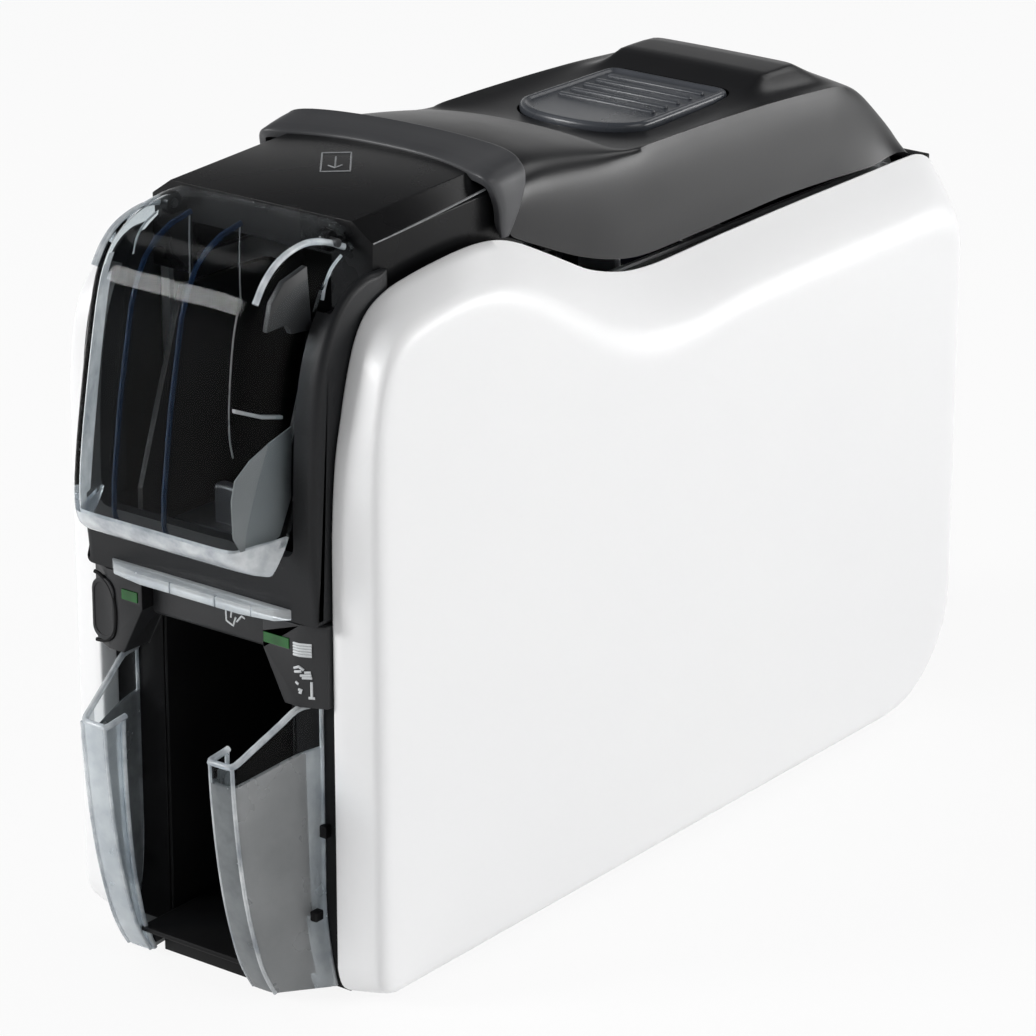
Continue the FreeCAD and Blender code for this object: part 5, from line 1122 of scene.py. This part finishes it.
card_rows = [front_stroke((40.4, z), (46.8, z)) for z in (129.8, 130.8, 131.8, 132.8, 133.8)]
cloth_rows = [front_stroke((40.6, 124.8), (42.6, 125.8), (44.2, 124.6)),
              front_stroke((40.8, 123.6), (43.4, 124.2)), front_stroke((43.0, 122.6), (46.6, 123.0)),
              front_stroke((43.6, 121.8), (46.8, 122.0)), front_stroke((44.4, 123.8), (46.4, 124.0))]
arrow_rows = [front_stroke((46.6, 114.6), (46.6, 120.6)), front_stroke((45.6, 114.8), (47.6, 114.8)),
              front_stroke((41.2, 120.0), (42.4, 119.4)), front_stroke((42.4, 117.6), (43.6, 117.2)),
              front_stroke((42.6, 116.6), (43.4, 116.4))]
plate_rows = [front_stroke((5.4, 137.4), (6.6, 137.0), (6.8, 132.0), (9.8, 130.8), (11.0, 134.2)),
              front_stroke((8.6, 136.6), (12.6, 136.0)), front_stroke((8.8, 133.6), (9.2, 136.0)),
              front_stroke((11.4, 132.6), (13.6, 135.2), (15.0, 134.6))]
sign("lamp_signs", lower_finish, card_rows + cloth_rows + arrow_rows, rearward, 0.5)
sign("plate_sign", small_copies["centre_plate"], plate_rows, rearward, 0.36)

# %% [markdown]
# ## Clear bin
# Two clear wings catch the finished cards. Each wing is a thin wall that turns from the front face
# into the side, with a beaded rim. It is planked from its foot to its rim, then given its wall, and
# the bead is a swept line.

# %% Bin wings
wing_rear, slope_share = -159.6, 0.72
wing_levels = [
    (4.2, 4.2, -177.4, 2.6), (10.0, 10.0, -181.0, 3.4), (17.0, 17.0, -184.3, 4.2), (26.0, 26.5, -187.2, 5.0),
    (36.0, 37.0, -189.9, 5.8), (48.0, 50.0, -192.4, 6.8), (62.0, 66.0, -194.5, 7.8), (78.0, 80.0, -196.2, 8.8),
    (88.5, 92.5, -196.9, 9.4), (91.6, 104.0, -197.0, 9.6), (94.6, 108.6, -197.2, 10.0),
]


def wing_ring(front_z, rear_z, front, flange):
    flare = 42.4 + 5.6 * max(0.0, 1.0 - front_z / 34.0) ** 1.5
    corner_x, corner_y = 34.8, front + 2.2
    span = wing_rear - front
    plan = [(22.8, front + flange), (22.8, front + flange * 0.5), (22.8, front + 1.2), (23.4, front + 0.3),
            (24.6, front), (29.0, front), (32.6, front + 0.1), (33.9, front + 0.7), (corner_x, corner_y)]
    plan += [(corner_x + (flare - corner_x) * share, corner_y + (wing_rear - corner_y) * share)
             for share in (0.12, 0.3, 0.5, 0.7, 0.88, 1.0)]
    ring = []
    for x, y in plan:
        wall_rise = min(1.0, max(0.0, (y - front) / span / slope_share)) * (x > 30.0)
        flange_rise = 0.08 * (x <= 23.0) * (y - front) / 10.0
        ring.append((x, y, front_z + (rear_z - front_z) * (wall_rise + flange_rise)))
    return ring


wing_rings = [wing_ring(*level) for level in wing_levels]
wing = planked("wing", wing_rings, closed=False)
apply_modifier(wing, "SUBSURF", levels=1, render_levels=1)
tidy_normals(wing)
apply_modifier(wing, "SOLIDIFY", thickness=1.7 * SCALE, offset=-1.0)
print("wing shell", len(wing.data.polygons), "faces")

# %% Wing beads


def pulled(point, x, y):
    return (point[0] + x, point[1] + y, point[2])


# Each upright bead: corner of the ring that it follows, shift in x and y, radius.
upright_beads = ((0, 0.4, 0.0, 0.95), (6, 0.9, 0.5, 0.75), (3, 0.2, 0.5, 0.7), (-1, -0.8, 0.0, 0.9))
rim_path = [pulled(point, 0.3 if i < 4 else -0.9, 0.9) for i, point in enumerate(wing_rings[-1])]
beads = join([bead(rim_path, 1.15, 3)] + [bead([pulled(ring[corner], x, y) for ring in wing_rings], radius, 3)
                                          for corner, x, y, radius in upright_beads])
# The beads are in the whiter clear plastic, a painted highlight for the bright lines the light draws along
# rims and edges.
dress_both(beads, ("right_wing_beads", "left_wing_beads"), "bin", "clear_edge")

# %% [markdown]
# The walls of the wings are hazy up to a line near the rim. The light and shade on the two mirrored
# wings are painted into their faces with other clear plastics: painted shade as a darker one on the
# right wing's front strip and the left wing's wall, painted highlight as a paler one on the left
# wing's front strip and the right wing's rear edge.

# %% Haze on the wings
haze_front, haze_rise, wall_x = 88.1, 4.0, 33.2
wing_twin = dress_both(wing, ("right_wing", "left_wing"), "bin", "clear_smoke",
                       (("bin_right_wing",), ("bin_left_wing",)))


def below_haze_line(spot):
    return spot.z < haze_front + haze_rise * min(1.0, max(0.0, (spot.y + 196.9) / 37.3 / slope_share))


for piece in (wing, wing_twin):
    hazed = paint_faces(piece, "clear_haze", lambda c, n: abs(c.x) > wall_x and below_haze_line(c))
    print("hazed", hazed, "wall faces")
# Painted shade on the left wing: most of its wall gets the darker clear plastic. Painted highlight: its front
# strip gets the paler one.
paint_faces(wing_twin, "clear_dim", lambda c, n: c.x < -wall_x and c.y > -190.0 and below_haze_line(c))
paint_faces(wing_twin, "clear_plastic", lambda c, n: 24.0 < abs(c.x) < 34.2)
# Painted shade on the right wing's front strip, painted highlight on its rear edge.
paint_faces(wing, "clear_dim", lambda c, n: c.x < wall_x and below_haze_line(c))
paint_faces(wing, "clear_plastic", lambda c, n: c.y > -166.6 and below_haze_line(c))

# %% [markdown]
# The foot of each wing is closed by a thin floor, so that a card cannot slip under the machine.

# %% Wing floors
foot = [(x, y) for x, y, z in wing_rings[0]] + [(24.0, wing_rear)]
floor_rings = [[(x + (1.0 if x < 30.0 else -1.0), y + 1.0, z) for x, y in foot] for z in (4.0, 5.6)]
dress_both(solid_loft("wing_floor", floor_rings), ("right_wing_floor", "left_wing_floor"), "bin", "bin_grey")

# %% Wing clips
clips = join([rounded_block("clip", (41.2, -161.8, 59.4), (44.6, -158.4, 64.0), 0.5),
              rounded_block("clip", (42.6, -168.6, 31.0), (45.6, -164.6, 34.6), 0.5)])
dress_both(clips, ("right_wing_clips", "left_wing_clips"), "bin", "dark_plastic")
